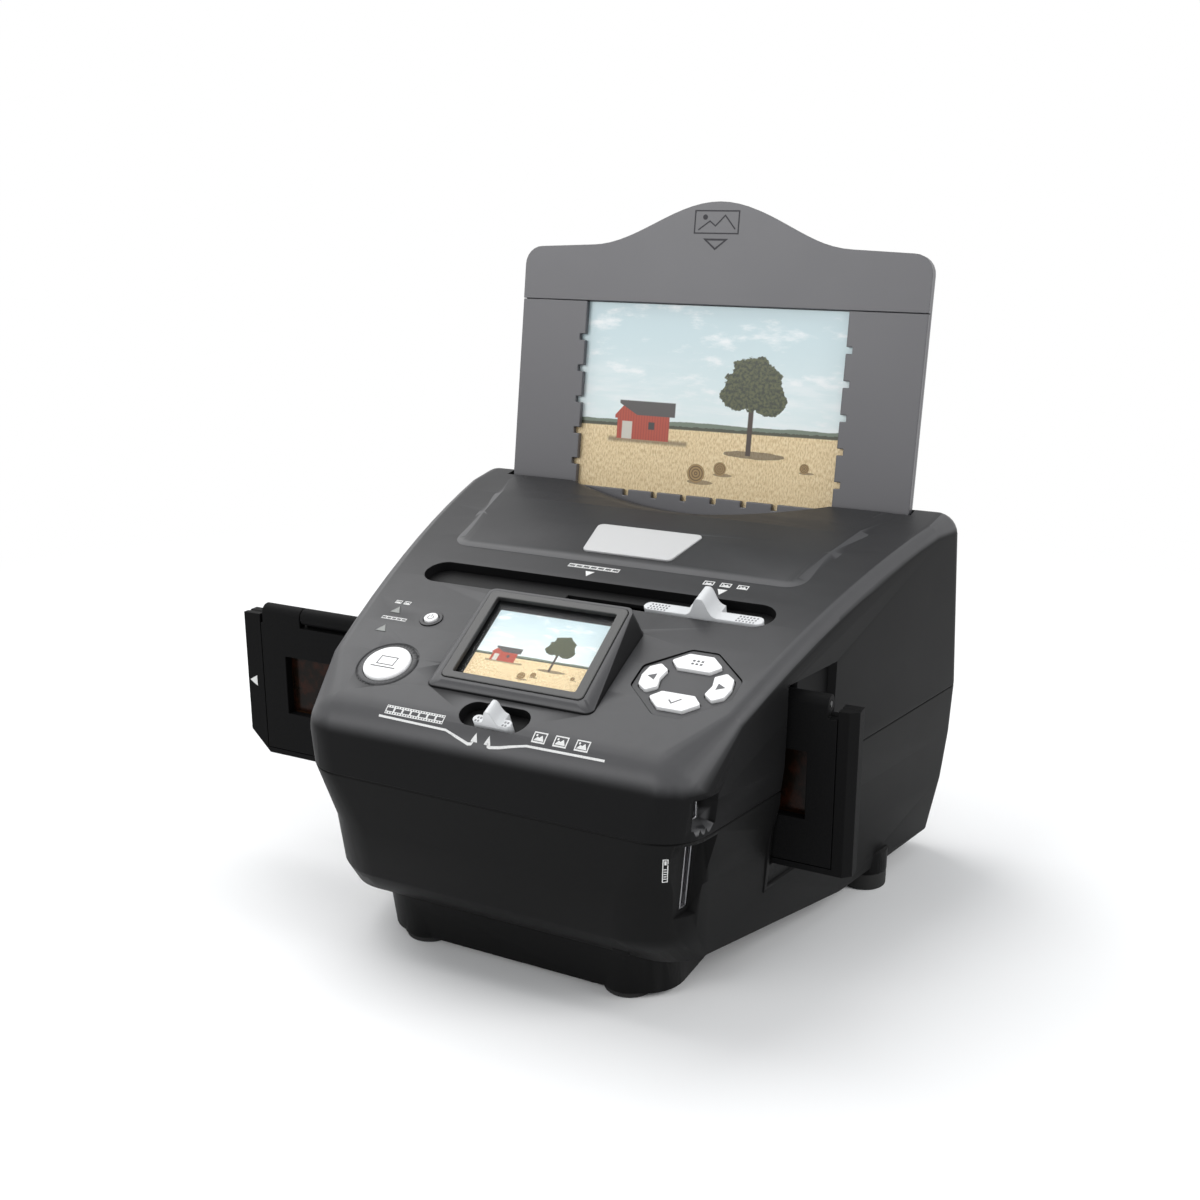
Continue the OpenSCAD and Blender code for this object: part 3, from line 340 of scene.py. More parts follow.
PLATE = moulded("plate_silver", (0.50, 0.50, 0.50), 0.36, grain=0.22, depth=0.004, edge=0.4,
                wear_and_highlight=1.2, cloud=0.04)
PIPE = moulded("light_pipe_frosted", (0.16, 0.17, 0.16), 0.4, wear_and_highlight=1.3)
LAMP = moulded("lamp_bar_white", (0.75, 0.75, 0.72), 0.5, wear_and_highlight=1.1)
DIFFUSER = moulded("diffuser_opal", (0.88, 0.88, 0.86), 0.45, wear_and_highlight=1.05, cloud=0.03)
STEEL = metal("screw_steel", (0.56, 0.56, 0.58), 0.34)
SOCKET = metal("socket_plated", (0.60, 0.60, 0.62), 0.28)
BARREL = metal("lens_barrel_anodised", (0.035, 0.035, 0.037), 0.38)


def rubber():
    f = Finish("foot_rubber", Specular_IOR_Level=0.35)
    soft = f.rounded(0.6)
    pores = f.noise(0.5, 4.0, 0.65)
    dust_and_sheen = f.noise(5, 4.0, 0.6)
    # paler along the edges, in patches: partly dust, partly a painted highlight
    tone = f.mix(dust_and_sheen * f.edges(soft), (0.012, 0.012, 0.012), (0.045, 0.043, 0.040))
    tone = f.mix(pores * 0.4, tone, (0.022, 0.022, 0.022))
    return f.feed(Base_Color=tone, Roughness=0.72 + 0.16 * pores, Normal=f.bump(pores, 0.03, soft))


def circuit():
    """Solder mask with copper tracks below it and a scatter of pads."""
    f = Finish("board_green")
    x, y, z = f.axes()
    weave = f.noise(0.8, 2.0)
    lanes = ((x + 0.4 * y).wrap(2.6) - 1.3).size().below(0.35, 0.08)
    cross = ((y - 0.3 * z).wrap(3.4) - 1.7).size().below(0.3, 0.08)
    patch = f.noise(9, 1.0).above(0.52, 0.02)
    tracks = lanes * patch + cross * (1 - patch)
    pads = f.cells(3.2).below(0.16, 0.02)
    tone = f.mix(tracks * 0.8, (0.010, 0.060, 0.028), (0.022, 0.120, 0.052))
    tone = f.mix(pads, tone, (0.62, 0.60, 0.55))
    return f.feed(Base_Color=tone, Metallic=pads * 0.8, Roughness=0.38 + 0.1 * weave,
                  Normal=f.bump(tracks + pads * 0.6, 0.03, f.rounded(0.15)))


RUBBER = rubber()
BOARD = circuit()


# ---- the picture on the print and on the display: a barn and a tree in a stubble field ----
PICTURE_WIDE = 1.47                         # times its height


def landscape(f, u, v, grain):
    """u runs across from 0 to PICTURE_WIDE, v up from 0 to 1. Returns the picture's colour."""
    flat = f.node("ShaderNodeCombineXYZ", {}, {0: u, 1: v, 2: 0.0})

    def rough(scale, detail, squeeze):
        spot = f.node("ShaderNodeVectorMath", {"operation": "MULTIPLY"},
                      {0: flat, 1: (scale, scale * squeeze, 1)})
        return f.node("ShaderNodeTexNoise", {}, {"Vector": spot, "Scale": 1.0, "Detail": detail,
                                                 "Roughness": 0.6})

    sway = rough(16, 4.0, 1.0) - 0.5
    horizon = 0.335 + 0.012 * u
    lift = v - horizon
    sky = f.mix(lift.above(0.28, 0.34), (0.76, 0.86, 0.86), (0.55, 0.68, 0.71))
    puffs = rough(3.4, 6.0, 2.6).above(0.60, 0.09)
    haze = rough(2.2, 5.0, 5.5).above(0.54, 0.12) * lift.below(0.30, 0.12)
    sky = f.mix(puffs.most(haze * 0.6) * 0.75, sky, (0.92, 0.93, 0.93))
    hills = (lift - 0.035 * rough(2.3, 2.0, 0.05) - 0.01 * sway).below(0.016, 0.002)
    picture = f.mix(hills, sky, (0.16, 0.20, 0.15))
    hedge = (lift - 0.022 * rough(30, 3.0, 0.1)).below(0.002, 0.002)
    picture = f.mix(hedge, picture, (0.055, 0.060, 0.035))
    stubble = rough(grain, 3.0, 0.35)
    drift = rough(7, 3.0, 4.0)
    field = f.mix(drift, (0.74, 0.56, 0.30), (0.88, 0.70, 0.42))
    field = f.mix((stubble.above(0.55, 0.10)) * 0.55, field, (0.46, 0.31, 0.14))
    field = f.mix((stubble.below(0.42, 0.08)) * 0.5, field, (0.94, 0.82, 0.58))
    picture = f.mix(lift.below(-0.004, 0.003), picture, field)

    def block(cx, cy, half_w, half_h, soft=0.003):
        return (u - cx).size().below(half_w, soft) * (v - cy).size().below(half_h, soft)

    def blob(cx, cy, rx, ry, ragged=0.0):
        reach = (((u - cx) / rx) ** 2.0 + ((v - cy) / ry) ** 2.0).root()
        return (reach + ragged * sway).below(1.0, 0.03)

    # barn: red boards, pale door, dark roof, with its shadow on the stubble
    shade = block(0.40, 0.262, 0.235, 0.012, 0.010)
    picture = f.mix(shade * 0.7, picture, (0.10, 0.065, 0.03))
    boards = (u.wrap(0.016) - 0.008).size().below(0.0015, 0.001)
    wall = f.mix(boards * 0.5, (0.42, 0.060, 0.030), (0.16, 0.022, 0.015))
    picture = f.mix(block(0.37, 0.335, 0.155, 0.068), picture, wall)
    gable = (block(0.275, 0.43, 0.075, 0.055)
             * ((u - 0.275).size() * 1.1 + (v - 0.40)).below(0.075, 0.003))
    picture = f.mix(gable, picture, wall)
    slope = block(0.39, 0.436, 0.165, 0.038) * ((v - 0.436) + 0.55 * (u - 0.39)).above(-0.07, 0.003)
    picture = f.mix(slope, picture, (0.075, 0.068, 0.066))
    picture = f.mix(block(0.275, 0.315, 0.030, 0.047), picture, (0.60, 0.57, 0.50))
    picture = f.mix(block(0.42, 0.345, 0.018, 0.020), picture, (0.035, 0.030, 0.030))
    # tree: dark trunk and ragged crown
    picture = f.mix(blob(1.02, 0.235, 0.17, 0.020, 0.5) * 0.75, picture, (0.075, 0.050, 0.022))
    trunk = block(0.985, 0.36, 0.014, 0.13)
    picture = f.mix(trunk, picture, (0.050, 0.030, 0.020))
    crown = blob(0.985, 0.60, 0.155, 0.135, 0.8).most(blob(0.90, 0.54, 0.09, 0.085, 0.9))
    crown = crown.most(blob(1.075, 0.53, 0.095, 0.09, 0.9))
    leaves = f.mix(rough(60, 3.0, 1.0).above(0.5, 0.12), (0.020, 0.026, 0.012),
                   (0.085, 0.095, 0.035))
    picture = f.mix(crown, picture, leaves)
    # three round bales in the foreground
    for cx, cy, r in ((0.70, 0.115, 0.050), (0.835, 0.150, 0.036), (1.30, 0.19, 0.026)):
        picture = f.mix(blob(cx + r * 0.5, cy - r * 0.9, r * 1.5, r * 0.25, 0.3) * 0.7, picture,
                        (0.12, 0.075, 0.03))
        straw = f.mix((((u - cx) ** 2.0 + (v - cy) ** 2.0).root().wrap(r * 0.3)
                       - r * 0.15).size().below(r * 0.06, r * 0.03),
                      (0.36, 0.23, 0.085), (0.13, 0.075, 0.025))
        picture = f.mix(blob(cx, cy, r, r), picture, straw)
    return picture


def photo_print():
    f = Finish("print_glossy_paper", Specular_IOR_Level=0.45, Coat_Weight=0.15, Coat_Roughness=0.12)
    x, y, z = f.axes()
    low, high = on_holder(0, -2.5).translation.z, on_holder(0, 79).translation.z
    v = (z - (low - DATUM.z) * 1000) / ((high - low) * 1000)
    u = (x + 60) / 81.5
    paper = f.noise(1.2, 3.0)
    return f.feed(Base_Color=landscape(f, u, v, 130.0), Roughness=0.30 + 0.08 * paper,
                  Normal=f.bump(paper, 0.006))


def display_picture():
    f = Finish("display_picture", Specular_IOR_Level=0.3, Emission_Strength=0.25)
    x, y, z = f.axes()
    low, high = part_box("display_glass")
    span = (high.z - low.z) * 1000 - 1.0
    v = (z - (low.z * 1000 + 1.4)) / (span - 2.4) * 1.07
    u = (x + 22.5) / 47.2 * PICTURE_WIDE
    shown = (u - PICTURE_WIDE / 2).size().below(0.728, 0.002) * (v - 0.5).size().below(0.487, 0.002)
    picture = landscape(f, u, v, 90.0)
    tone = f.mix(shown, (0.004, 0.004, 0.004), picture)
    glow = f.mix(shown, (0.0, 0.0, 0.0), picture)
    return f.feed(Base_Color=tone, Emission_Color=glow, Roughness=0.30 + 0.05 * f.noise(0.4))


def cover_glass():
    f = Finish("display_cover_glass", Alpha=0.10, Coat_Weight=0.0)
    smear = f.noise(14, 4.0, 0.6, stretch=(1, 0.4, 0.4))
    return f.feed(Base_Color=f.mix(smear, (0.02, 0.025, 0.03), (0.10, 0.11, 0.12)),
                  Roughness=0.05 + 0.10 * smear)


FILM_PITCH, FILM_MIDDLE = 38.0, 75.0        # of the pictures, and its height above the table
HOLE_PITCH = 4.75
HALF_WIDE, HALF_TALL = 18.0, 12.0           # half a picture


def negative():
    """Developed film: amber base, six dark pictures, two rows of perforations."""
    f = Finish("film_negative", Specular_IOR_Level=0.10)
    x, y, z = f.axes()
    place = (x + 133).wrap(FILM_PITCH)
    across = (z - FILM_MIDDLE).size()
    picture = (place - FILM_PITCH / 2).size().below(HALF_WIDE, 0.15) * across.below(HALF_TALL, 0.15)
    holes = ((x.wrap(HOLE_PITCH) - HOLE_PITCH / 2).size().below(0.95, 0.1)
             * (across - 14.9).size().below(1.35, 0.1))
    tones = f.noise(9, 5.0, 0.65)
    light = f.noise(22, 3.0)
    dark = f.mix(tones.above(0.56, 0.12), (0.0050, 0.0035, 0.0025), (0.030, 0.008, 0.0035))
    dark = f.mix(light * 0.5, dark, (0.0080, 0.0045, 0.0028))
    base = f.mix(f.noise(3, 2.0), (0.020, 0.009, 0.004), (0.030, 0.013, 0.006))
    tone = f.mix(picture, base, dark)
    tone = f.mix(holes, tone, (0.004, 0.004, 0.004))
    return f.feed(Base_Color=tone, Roughness=0.16 + 0.08 * tones, Normal=f.bump(picture, 0.01))


def ink(name, colour, rough=0.5):
    f = Finish(name, Specular_IOR_Level=0.3)
    speck = f.noise(0.35, 3.0, 0.7)
    tone = f.mix(speck.above(0.42, 0.14), tinted(colour, 0.72), colour)
    return f.feed(Base_Color=tone, Roughness=rough + 0.1 * speck, Normal=f.bump(speck, 0.006))


PRINT, SCREEN, GLASS, NEGATIVE = photo_print(), display_picture(), cover_glass(), negative()
GRIP_INK = ink("grip_grey", (0.30, 0.30, 0.31))
WHITE_INK = ink("ink_white", (0.72, 0.72, 0.71))
GREY_INK = ink("ink_grey", (0.13, 0.13, 0.135))
FAINT_INK = ink("engraved_dark", (0.030, 0.029, 0.034))


# ---- carried-over frame nodes ----
CARRIED = {
    SATIN: ["upper_housing", "power_ring", "nav_plate"], SHELL: ["lower_housing"],
    POD: ["display_pod"], RUBBER: ["rubber_feet"],
    STEEL: ["foot_screws", "case_screws", "guide_screws"],
    BEZEL: ["display_frame"], GLASS: ["display_glass"], SCREEN: ["display_module"],
    PLATE: ["name_plate"], PIPE: ["indicator_pipes"],
    DARK: ["mode_track", "lens_track", "data_tongue"],
    BOARD: ["button_boards", "main_board", "sensor_board", "port_board"],
    GUIDE: ["film_guide", "photo_guide", "mode_carriage", "lens_fork"],
    LAMP: ["photo_lamps", "backlight_box"], DIFFUSER: ["backlight_panel"],
    BRACKET: ["camera_bracket", "focus_ring"], BARREL: ["lens_barrel", "film_pin"],
    SOCKET: ["data_socket", "card_socket"], HOLDER: ["photo_back", "photo_frame"],
    PRINT: ["photo_print"], FILM_BLACK: ["film_base", "film_cover"], NEGATIVE: ["film_strip"],
    SLIDER_WHITE: ["mode_knob", "lens_knob"],
    KEY_WHITE: ["start_button", "power_button", "key_top", "key_bottom", "key_left", "key_right"],
}


def dress(obj, material):
    obj.data.materials.clear()
    obj.data.materials.append(material)
    return obj


for material, names in CARRIED.items():
    for name in names:
        dress(nodes[name], material)


# ---- making pieces ----
def only(*objs):
    bpy.ops.object.select_all(action="DESELECT")
    for o in objs:
        o.hide_set(False)
        o.select_set(True)
    bpy.context.view_layer.objects.active = objs[0]


def settle(obj):
    """The object goes to the origin and its place into its mesh."""
    obj.data.transform(obj.matrix_world)
    obj.matrix_world = Matrix.Identity(4)
    return obj


def apply(obj, kind, **settings):
    only(obj)
    modifier = obj.modifiers.new(kind.lower(), kind)
    for key, value in settings.items():
        setattr(modifier, key, value)
    bpy.ops.object.modifier_apply(modifier=modifier.name)
    return obj


def finished(obj, material, body="chassis", angle=35):
    dress(obj, material)
    only(obj)
    bpy.ops.object.shade_smooth_by_angle(angle=math.radians(angle))
    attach(obj, body)
    return obj


BODY_OF = {n: body for body, names in frame["record"]["behaviour"]["bodies"].items() for n in names}


def shell_of(node, weld=0.004):
    """A copy of a frame node whose triangles are joined."""
    obj = bpy.data.objects.new(node + "_skin", nodes[node].data.copy())
    bpy.context.scene.collection.objects.link(obj)
    only(obj)
    bpy.ops.object.mode_set(mode="EDIT")
    bpy.ops.mesh.select_all(action="SELECT")
    bpy.ops.mesh.remove_doubles(threshold=weld * MM)
    bpy.ops.object.mode_set(mode="OBJECT")
    return obj


def skin(node, angle=35, width=0.0, segments=2, corner=40):
    """Stands for a frame node, with smooth curves and, where a width is given, its edges broken."""
    obj = shell_of(node)
    if width:
        only(obj)
        bpy.ops.object.mode_set(mode="EDIT")
        bpy.ops.mesh.select_all(action="SELECT")
        bpy.ops.mesh.dissolve_limited(angle_limit=math.radians(0.6))
        bpy.ops.object.mode_set(mode="OBJECT")
        apply(obj, "BEVEL", width=width * MM, segments=segments, limit_method="ANGLE",
              angle_limit=math.radians(corner), use_clamp_overlap=True, miter_outer="MITER_ARC")
    only(obj)
    bpy.ops.object.shade_smooth_by_angle(angle=math.radians(angle))
    apply(obj, "WEIGHTED_NORMAL", mode="FACE_AREA", weight=90, keep_sharp=True)
    dress(obj, nodes[node].data.materials[0])
    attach(obj, BODY_OF[node])
    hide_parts(node)
    return obj


for node in ("upper_housing", "lower_housing", "lens_barrel", "focus_ring", "film_pin"):
    skin(node)
for node, width, segments in (
        ("display_pod", 0.5, 3), ("display_frame", 0.3, 2), ("name_plate", 0.25, 2),
        ("nav_plate", 0.2, 2), ("power_ring", 0.25, 2), ("photo_back", 0.5, 3),
        ("photo_frame", 0.3, 2), ("film_base", 0.3, 2), ("film_cover", 0.3, 2),
        ("mode_knob", 0.2, 2), ("lens_knob", 0.18, 2), ("start_button", 0.3, 2),
        ("power_button", 0.25, 2), ("key_top", 0.45, 3), ("key_bottom", 0.45, 3),
        ("key_left", 0.45, 3), ("key_right", 0.45, 3), ("rubber_feet", 0.8, 3),
        ("data_socket", 0.15, 2)):
    skin(node, width=width, segments=segments)


# ---- outlines of printed marks, in mm; a group is an outer outline and its holes ----
def bar(x0, y0, x1, y1, w):
    run = Vector((x1 - x0, y1 - y0)).normalized() * w / 2
    side = Vector((-run.y, run.x))
    return [[(x0 + side.x, y0 + side.y), (x0 - side.x, y0 - side.y),
             (x1 - side.x, y1 - side.y), (x1 + side.x, y1 + side.y)]]


def circle(cx, cy, r, count=36, start=0.0, end=360.0):
    full = abs(end - start) >= 360
    steps = count if full else count + 1
    return [(cx + r * math.cos(math.radians(start + (end - start) * i / count)),
             cy + r * math.sin(math.radians(start + (end - start) * i / count)))
            for i in range(steps)]


def disc(cx, cy, r):
    return [circle(cx, cy, r)]


def arc(cx, cy, r, w, start=0.0, end=360.0):
    if abs(end - start) >= 360:
        return [circle(cx, cy, r + w / 2), circle(cx, cy, r - w / 2)]
    return [circle(cx, cy, r + w / 2, 24, start, end) + circle(cx, cy, r - w / 2, 24, end, start)]


def rect(cx, cy, w, h):
    return [(cx - w / 2, cy - h / 2), (cx + w / 2, cy - h / 2),
            (cx + w / 2, cy + h / 2), (cx - w / 2, cy + h / 2)]


def border(cx, cy, w, h, t):
    return [rect(cx, cy, w, h), rect(cx, cy, w - 2 * t, h - 2 * t)]


def stroke(points, w):
    """A bent line of even width."""
    pts = [Vector(p) for p in points]
    left, right = [], []
    for i, p in enumerate(pts):
        a = (p - pts[i - 1]).normalized() if i else (pts[1] - p).normalized()
        b = (pts[i + 1] - p).normalized() if i < len(pts) - 1 else a
        across = Vector((-(a + b).y, (a + b).x)).normalized()
        reach = w / 2 / max(0.4, across.dot(Vector((-a.y, a.x))))
        left.append(tuple(p + across * reach))
        right.append(tuple(p - across * reach))
    return [left + right[::-1]]


def film_sign(cx, cy, length, h):
    """A strip of film with its perforations."""
    count = max(3, round(length / (h * 0.42)))
    step = length / count
    group = [rect(cx, cy, length, h)]
    for i in range(count):
        x = cx - length / 2 + (i + 0.5) * step
        group += [rect(x, cy + h * 0.36, step * 0.5, h * 0.13),
                  rect(x, cy - h * 0.36, step * 0.5, h * 0.13)]
    frames = max(2, round(length / (h * 1.35)))
    for i in range(frames):
        x = cx - length / 2 + (i + 0.5) * length / frames
        group.append(rect(x, cy, length / frames * 0.8, h * 0.42))
    return [group]


def photo_sign(cx, cy, w, h, t):
    """A print with a sun and a hill."""
    return [border(cx, cy, w, h, t), disc(cx - w * 0.24, cy + h * 0.17, h * 0.11),
            [[(cx - w * 0.38, cy - h * 0.32), (cx + w * 0.38, cy - h * 0.32),
              (cx + w * 0.16, cy + h * 0.20), (cx - w * 0.02, cy - h * 0.06),
              (cx - w * 0.14, cy + h * 0.04)]]]


def printed(name, groups, place, material, body, slot, onto=None, thick=0.05, strip=0.0):
    """A mark laid on a surface. Onto is the node it is pressed against, along the place's own Z;
    strip is the width it is cut to along Y, where that surface is rounded."""
    made = []
    for i, group in enumerate(groups):
        curve = bpy.data.curves.new("%s_%d" % (name, i), "CURVE")
        curve.dimensions, curve.fill_mode = "2D", "BOTH"
        for outline in group:
            spline = curve.splines.new("POLY")
            spline.points.add(len(outline) - 1)
            for point, (x, y) in zip(spline.points, outline):
                point.co = (x * MM, y * MM, 0, 1)
            spline.use_cyclic_u = True
        obj = bpy.data.objects.new(curve.name, curve)
        bpy.context.scene.collection.objects.link(obj)
        only(obj)
        bpy.ops.object.convert(target="MESH")
        made.append(bpy.context.object)
    only(*made)
    if len(made) > 1:
        bpy.ops.object.join()
    obj = bpy.context.object
    obj.name = name
    if strip:
        low, high = (f(v.co.y for v in obj.data.vertices) / MM for f in (min, max))
        only(obj)
        bpy.ops.object.mode_set(mode="EDIT")
        for i in range(1, math.ceil((high - low) / strip)):
            bpy.ops.mesh.select_all(action="SELECT")
            bpy.ops.mesh.bisect(plane_co=(0, (low + i * strip) * MM, 0), plane_no=(0, 1, 0))
        bpy.ops.object.mode_set(mode="OBJECT")
    obj.matrix_world = place
    bpy.context.view_layer.update()
    if onto:
        apply(obj, "SHRINKWRAP", target=nodes[onto], wrap_method="PROJECT", use_project_z=True,
              use_negative_direction=True, use_positive_direction=True, offset=0.02 * MM)
    settle(obj)
    only(obj)
    bpy.ops.object.mode_set(mode="EDIT")
    bpy.ops.mesh.select_all(action="SELECT")
    bpy.ops.mesh.normals_make_consistent(inside=False)
    bpy.ops.object.mode_set(mode="OBJECT")
    up = place.to_3x3() @ Vector((0, 0, 1))
    total = sum((p.normal.dot(up) * p.area for p in obj.data.polygons), 0.0)
    if total < 0:
        obj.data.flip_normals()
    apply(obj, "SOLIDIFY", thickness=thick * MM, offset=1.0)
    return finished(obj, material, body)


def pressed(name, shapes, **more):
    """A white mark, drawn above the panel and pressed straight down onto its curve."""
    printed(name, shapes, Matrix.Translation(at(0, 0, 150.0)), WHITE_INK, "chassis",
            "slider_white", "upper_housing", **more)


# marks round the short slider: two leaders that end in arrows
pressed("leader_left", [stroke([(-43.2, -95.1), (-15.4, -95.4), (-10.6, -96.3), (-5.6, -97.1),
                                (-4.2, -97.0), (-3.5, -96.3)], 0.5),
                        [[(-4.7, -96.6), (-2.1, -96.6), (-3.3, -94.7)]]], strip=0.3)
pressed("leader_right", [stroke([(45.4, -95.3), (16.4, -95.4), (6.7, -96.7), (3.0, -97.0),
                                 (2.2, -96.9), (1.9, -96.3)], 0.5),
                         [[(0.6, -96.7), (3.2, -96.7), (1.9, -94.8)]]], strip=0.3)
pressed("lens_film_sign", film_sign(-29.5, -93.0, 24, 2.6), strip=0.5)
pressed("lens_photo_sign", photo_sign(20, -92.7, 5.0, 3.2, 0.4)
        + photo_sign(28, -92.7, 5.0, 3.2, 0.4) + photo_sign(36, -92.7, 5.0, 3.2, 0.4), strip=0.5)
# marks above the long slider
pressed("mode_film_sign", film_sign(-7.3, -1.6, 22, 2.5)
        + [[[(-9.3, -4.6), (-5.4, -4.6), (-7.3, -8.2)]]])
pressed("mode_photo_sign", photo_sign(41, -1.6, 4.2, 2.8, 0.4)
        + photo_sign(47.8, -1.6, 4.2, 2.8, 0.4) + photo_sign(54.6, -1.6, 4.2, 2.8, 0.4)
        + [[[(45.9, -4.8), (49.8, -4.8), (47.9, -8.6)]]])
# signs beside the two indicator lights
pressed("light_photo_sign", photo_sign(-71.4, -41.2, 2.8, 1.9, 0.28)
        + photo_sign(-67.4, -41.2, 2.8, 1.9, 0.28))
pressed("light_film_sign", film_sign(-67.0, -50.9, 11, 1.7))
# signs on the buttons
BUTTON_TOP, KEY_TOP = 1.0, 0.4              # above the panel
NAV_X, NAV_Y = 57.6, -59                    # middle of the four keys
printed("start_sign", [border(0, 0.6, 7.4, 4.6, 0.42), bar(-5.2, -2.9, 5.2, -2.9, 0.5)],
        on_panel(-54, -74.2, BUTTON_TOP), GREY_INK, "start_button", "button_white")
printed("power_sign", [arc(0, -0.1, 1.15, 0.3, -235, 55), bar(0, 0.2, 0, 1.7, 0.3)],
        on_panel(-52, -48, BUTTON_TOP), GREY_INK, "power_button", "button_white")
printed("menu_sign", [[rect(x, 10.4 + y, 0.9, 0.9)] for x in (-1.6, 0, 1.6) for y in (-0.8, 0.8)],
        on_panel(NAV_X, NAV_Y, KEY_TOP), GREY_INK, "key_top", "button_white")
printed("accept_sign", [stroke([(-1.9, -10.2), (-0.5, -11.7), (2.2, -9.0)], 0.5)],
        on_panel(NAV_X, NAV_Y, KEY_TOP), GREY_INK, "key_bottom", "button_white")
printed("back_sign", [[[(-14.3, 0), (-11.3, 1.7), (-11.3, -1.7)]]],
        on_panel(NAV_X, NAV_Y, KEY_TOP), GREY_INK, "key_left", "button_white")
printed("next_sign", [[[(14.3, 0), (11.3, 1.7), (11.3, -1.7)]]],
        on_panel(NAV_X, NAV_Y, KEY_TOP), GREY_INK, "key_right", "button_white")
# photo holder's insertion sign and the film holder's arrow
printed("holder_sign", [border(-1.1, 113.2, 20.4, 9.8, 0.55)]
        + [disc(-6.4, 115.2, 1.1),
           stroke([(-9.3, 109.9), (-4.2, 113.6), (-1.6, 111.6), (2.6, 116.0), (7.4, 110.4)], 0.55)]
        + [[[(-6.9, 106.4), (4.7, 106.4), (-1.1, 101.6)],
            [(-4.9, 105.6), (2.7, 105.6), (-1.1, 102.6)]]],
        on_holder(0, 0, 0.02), FAINT_INK, "photo_holder", "holder_grey")
printed("film_arrow", [[[(-151.5, 74.6), (-147.7, 76.9), (-147.7, 72.3)]]],
        on_film_face(0, 0, 0.02), WHITE_INK, "film_holder", "slider_white")
# memory card sign on the rounded corner beside its bay, and a plug on the data bay's rear wall
CORNER_TURN = -62                           # degrees
corner = Matrix.Rotation(math.radians(CORNER_TURN), 4, "Z")
printed("card_sign", [border(0, 0, 1.9, 9.6, 0.3), [rect(0, 3.3, 0.7, 1.6)]]
        + [[rect(0, y, 1.0, 0.35)] for y in (-3.4, -2.4, -1.4, -0.4, 0.6)],
        Matrix.Translation(at(68.9, -98.2, 62)) @ corner @ Matrix.Rotation(math.pi / 2, 4, "Y")
        @ Matrix.Rotation(math.pi / 2, 4, "Z"),
        WHITE_INK, "chassis", "slider_white", "lower_housing", strip=0.8)
printed("plug_sign", [border(0, -1.9, 1.5, 2.3, 0.3), bar(0, -0.8, 0, 1.4, 0.35),
                      [[(-0.75, 1.2), (0.75, 1.2), (0, 2.9)]], bar(-0.35, -3.0, -0.35, -3.7, 0.3),
                      bar(0.35, -3.0, 0.35, -3.7, 0.3)],
        Matrix.Translation(at(74.4, -80.7, 82.2)) @ Matrix.Rotation(-FLARE, 4, "Z")
        @ Matrix.Rotation(math.pi / 2, 4, "X"),
        WHITE_INK, "chassis", "slider_white", "upper_housing")


# ---- grip pips at the ends of the two sliders ----
PIP = (0.42, 0.55, 0.30)                    # half sizes
WING_UP = 0.55                              # top of the sliders' wings above the panel


def grip(name, places, body, material):
    """Small raised pips; each place is a matrix on a wing."""
    made = []
    for place in places:
        bpy.ops.mesh.primitive_uv_sphere_add(segments=10, ring_count=6, radius=1.0)
        pip = bpy.context.object
        pip.data.transform(place @ Matrix.Diagonal((*[r * MM for r in PIP], 1)))
        made.append(pip)
    only(*made)
    bpy.ops.object.join()
    made[0].name = name
    return finished(made[0], material, body, 60)


grip("mode_grip", [on_panel(x + 0.35 * row, -22.3 + 1.35 * row, WING_UP)
                   for start in (27.0, 61.4) for x in [start + 1.3 * i for i in range(6)]
                   for row in (-1, 0, 1)], "mode_slider", GRIP_INK)
grip("lens_grip", [on_panel(x + 0.3 * row, -91.3 + 1.1 * row, WING_UP)
                   for x in (-5.1, -4.0, 5.6, 6.7) for row in (-0.6, 0.6)],
     "lens_slider", GRIP_INK)


# ---- studio ----
def add_floor():
    bpy.ops.mesh.primitive_plane_add(size=12, location=(0, 0, 0))
    floor = bpy.context.object
    floor.name = "studio_floor"
    f = Finish("studio_white", Roughness=0.85, Specular_IOR_Level=0.1)
    f.feed(Base_Color=f.mix(f.noise(80, 2.0), (0.95, 0.95, 0.95), (0.965, 0.965, 0.965)))
    split = f.node("ShaderNodeSeparateXYZ", {}, {0: f.spot()}).socket.node
    x, y = Value(f, split.outputs[0]), Value(f, split.outputs[1])
    far = ((x * x + y * y).root()).above(0.42, 0.26)
    ray = f.node("ShaderNodeLightPath").socket.node
    seen = Value(f, ray.outputs["Is Camera Ray"]).most(Value(f, ray.outputs["Is Glossy Ray"]))
    seen = seen.most(Value(f, ray.outputs["Is Transmission Ray"]))
    glow = f.nodes.new("ShaderNodeEmission")
    glow.inputs["Color"].default_value = (1, 1, 1, 1)
    mixed = f.nodes.new("ShaderNodeMixShader")
    f.links.new((far * seen).socket, mixed.inputs[0])
    f.links.new(f.surface.outputs[0], mixed.inputs[1])
    f.links.new(glow.outputs[0], mixed.inputs[2])
    end = next(n for n in f.nodes if n.type == "OUTPUT_MATERIAL")
    f.links.new(mixed.outputs[0], end.inputs["Surface"])
    dress(floor, f.material)


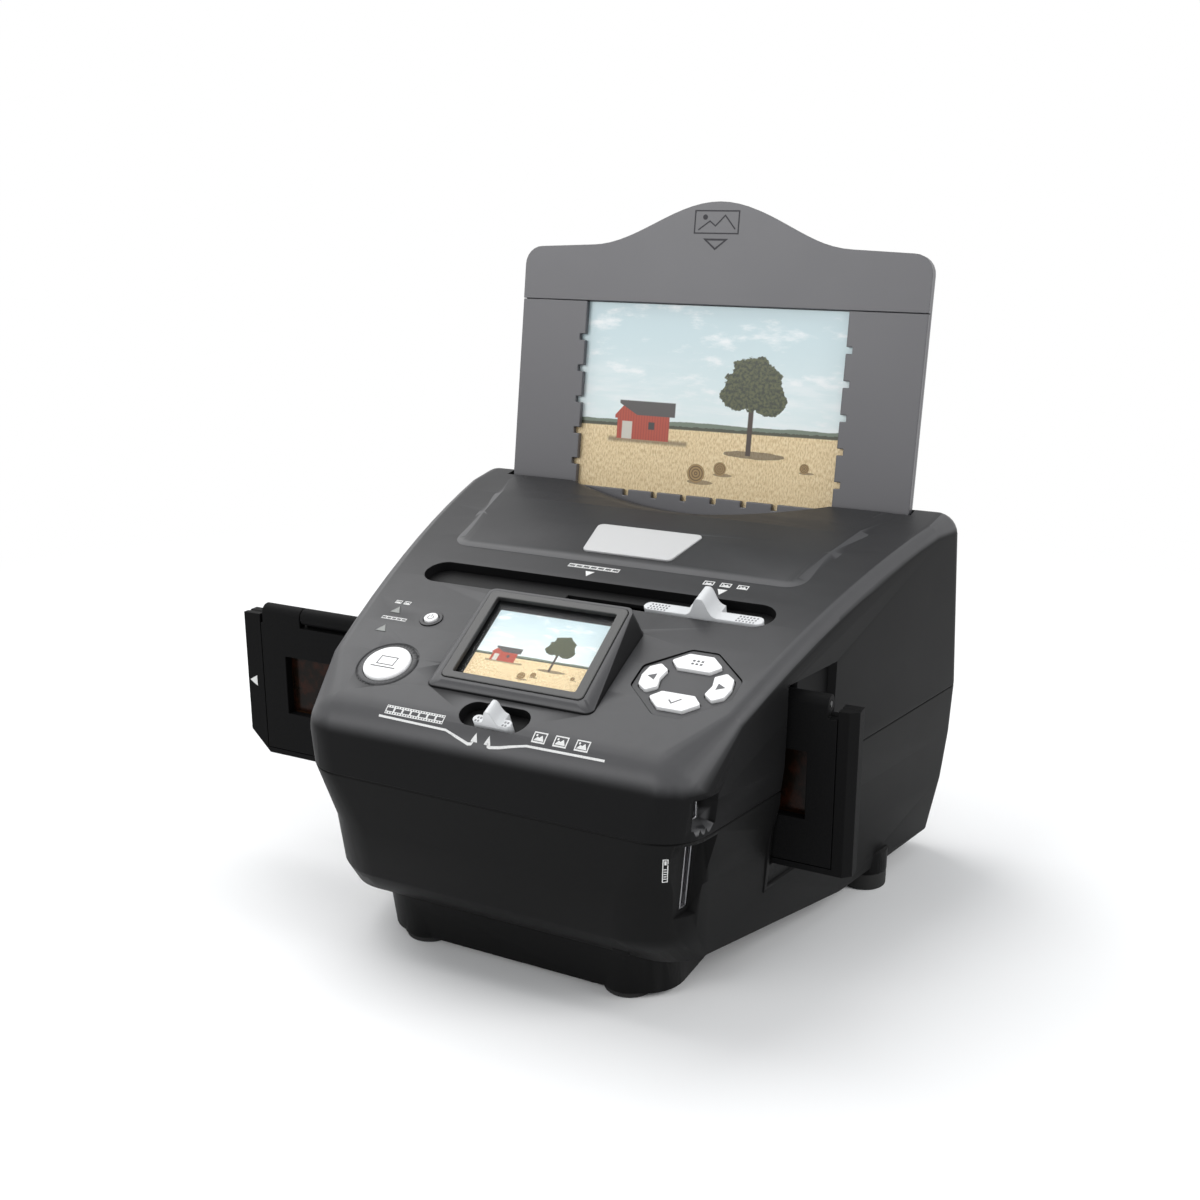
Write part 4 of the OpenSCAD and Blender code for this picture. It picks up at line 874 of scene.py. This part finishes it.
def add_world():
    world = bpy.data.worlds.new("studio")
    world.use_nodes = True
    bpy.context.scene.world = world
    tree = world.node_tree
    back = next(n for n in tree.nodes if n.type == "BACKGROUND")
    ray = tree.nodes.new("ShaderNodeLightPath")
    white = tree.nodes.new("ShaderNodeBackground")
    mix = tree.nodes.new("ShaderNodeMixShader")
    back.inputs["Color"].default_value = (0.94, 0.97, 1.0, 1)
    back.inputs["Strength"].default_value = 0.42
    white.inputs["Color"].default_value = (1, 1, 1, 1)
    white.inputs["Strength"].default_value = 1.0
    seen = [tree.nodes.new("ShaderNodeMath") for _ in range(2)]
    for node in seen:
        node.operation = "MAXIMUM"
    tree.links.new(ray.outputs["Is Camera Ray"], seen[0].inputs[0])
    tree.links.new(ray.outputs["Is Glossy Ray"], seen[0].inputs[1])
    tree.links.new(seen[0].outputs[0], seen[1].inputs[0])
    tree.links.new(ray.outputs["Is Transmission Ray"], seen[1].inputs[1])
    tree.links.new(seen[1].outputs[0], mix.inputs[0])
    tree.links.new(back.outputs[0], mix.inputs[1])
    tree.links.new(white.outputs[0], mix.inputs[2])
    end = next(n for n in tree.nodes if n.type == "OUTPUT_WORLD")
    tree.links.new(mix.outputs[0], end.inputs["Surface"])


def add_lamp(name, place, aim, size, power):
    light = bpy.data.lights.new(name, "AREA")
    light.shape, light.size, light.size_y, light.energy = "RECTANGLE", size[0], size[1], power
    lamp = bpy.data.objects.new(name, light)
    lamp.location = place
    lamp.rotation_euler = (Vector(aim) - Vector(place)).to_track_quat("-Z", "Y").to_euler()
    bpy.context.scene.collection.objects.link(lamp)


add_floor()
add_world()
add_lamp("softbox_top", (-0.77, 0.24, 1.31), (0.0, 0, 0.1), (1.4, 1.6), 20)
add_lamp("softbox_front_left", (-0.80, -1.70, 0.95), (0, 0, 0.2), (1.1, 0.7), 14)
add_lamp("softbox_right", (1.35, 0.10, 0.9), (0, 0, 0.1), (0.7, 0.9), 12)

view = bpy.context.scene.view_settings
view.view_transform = "Standard"
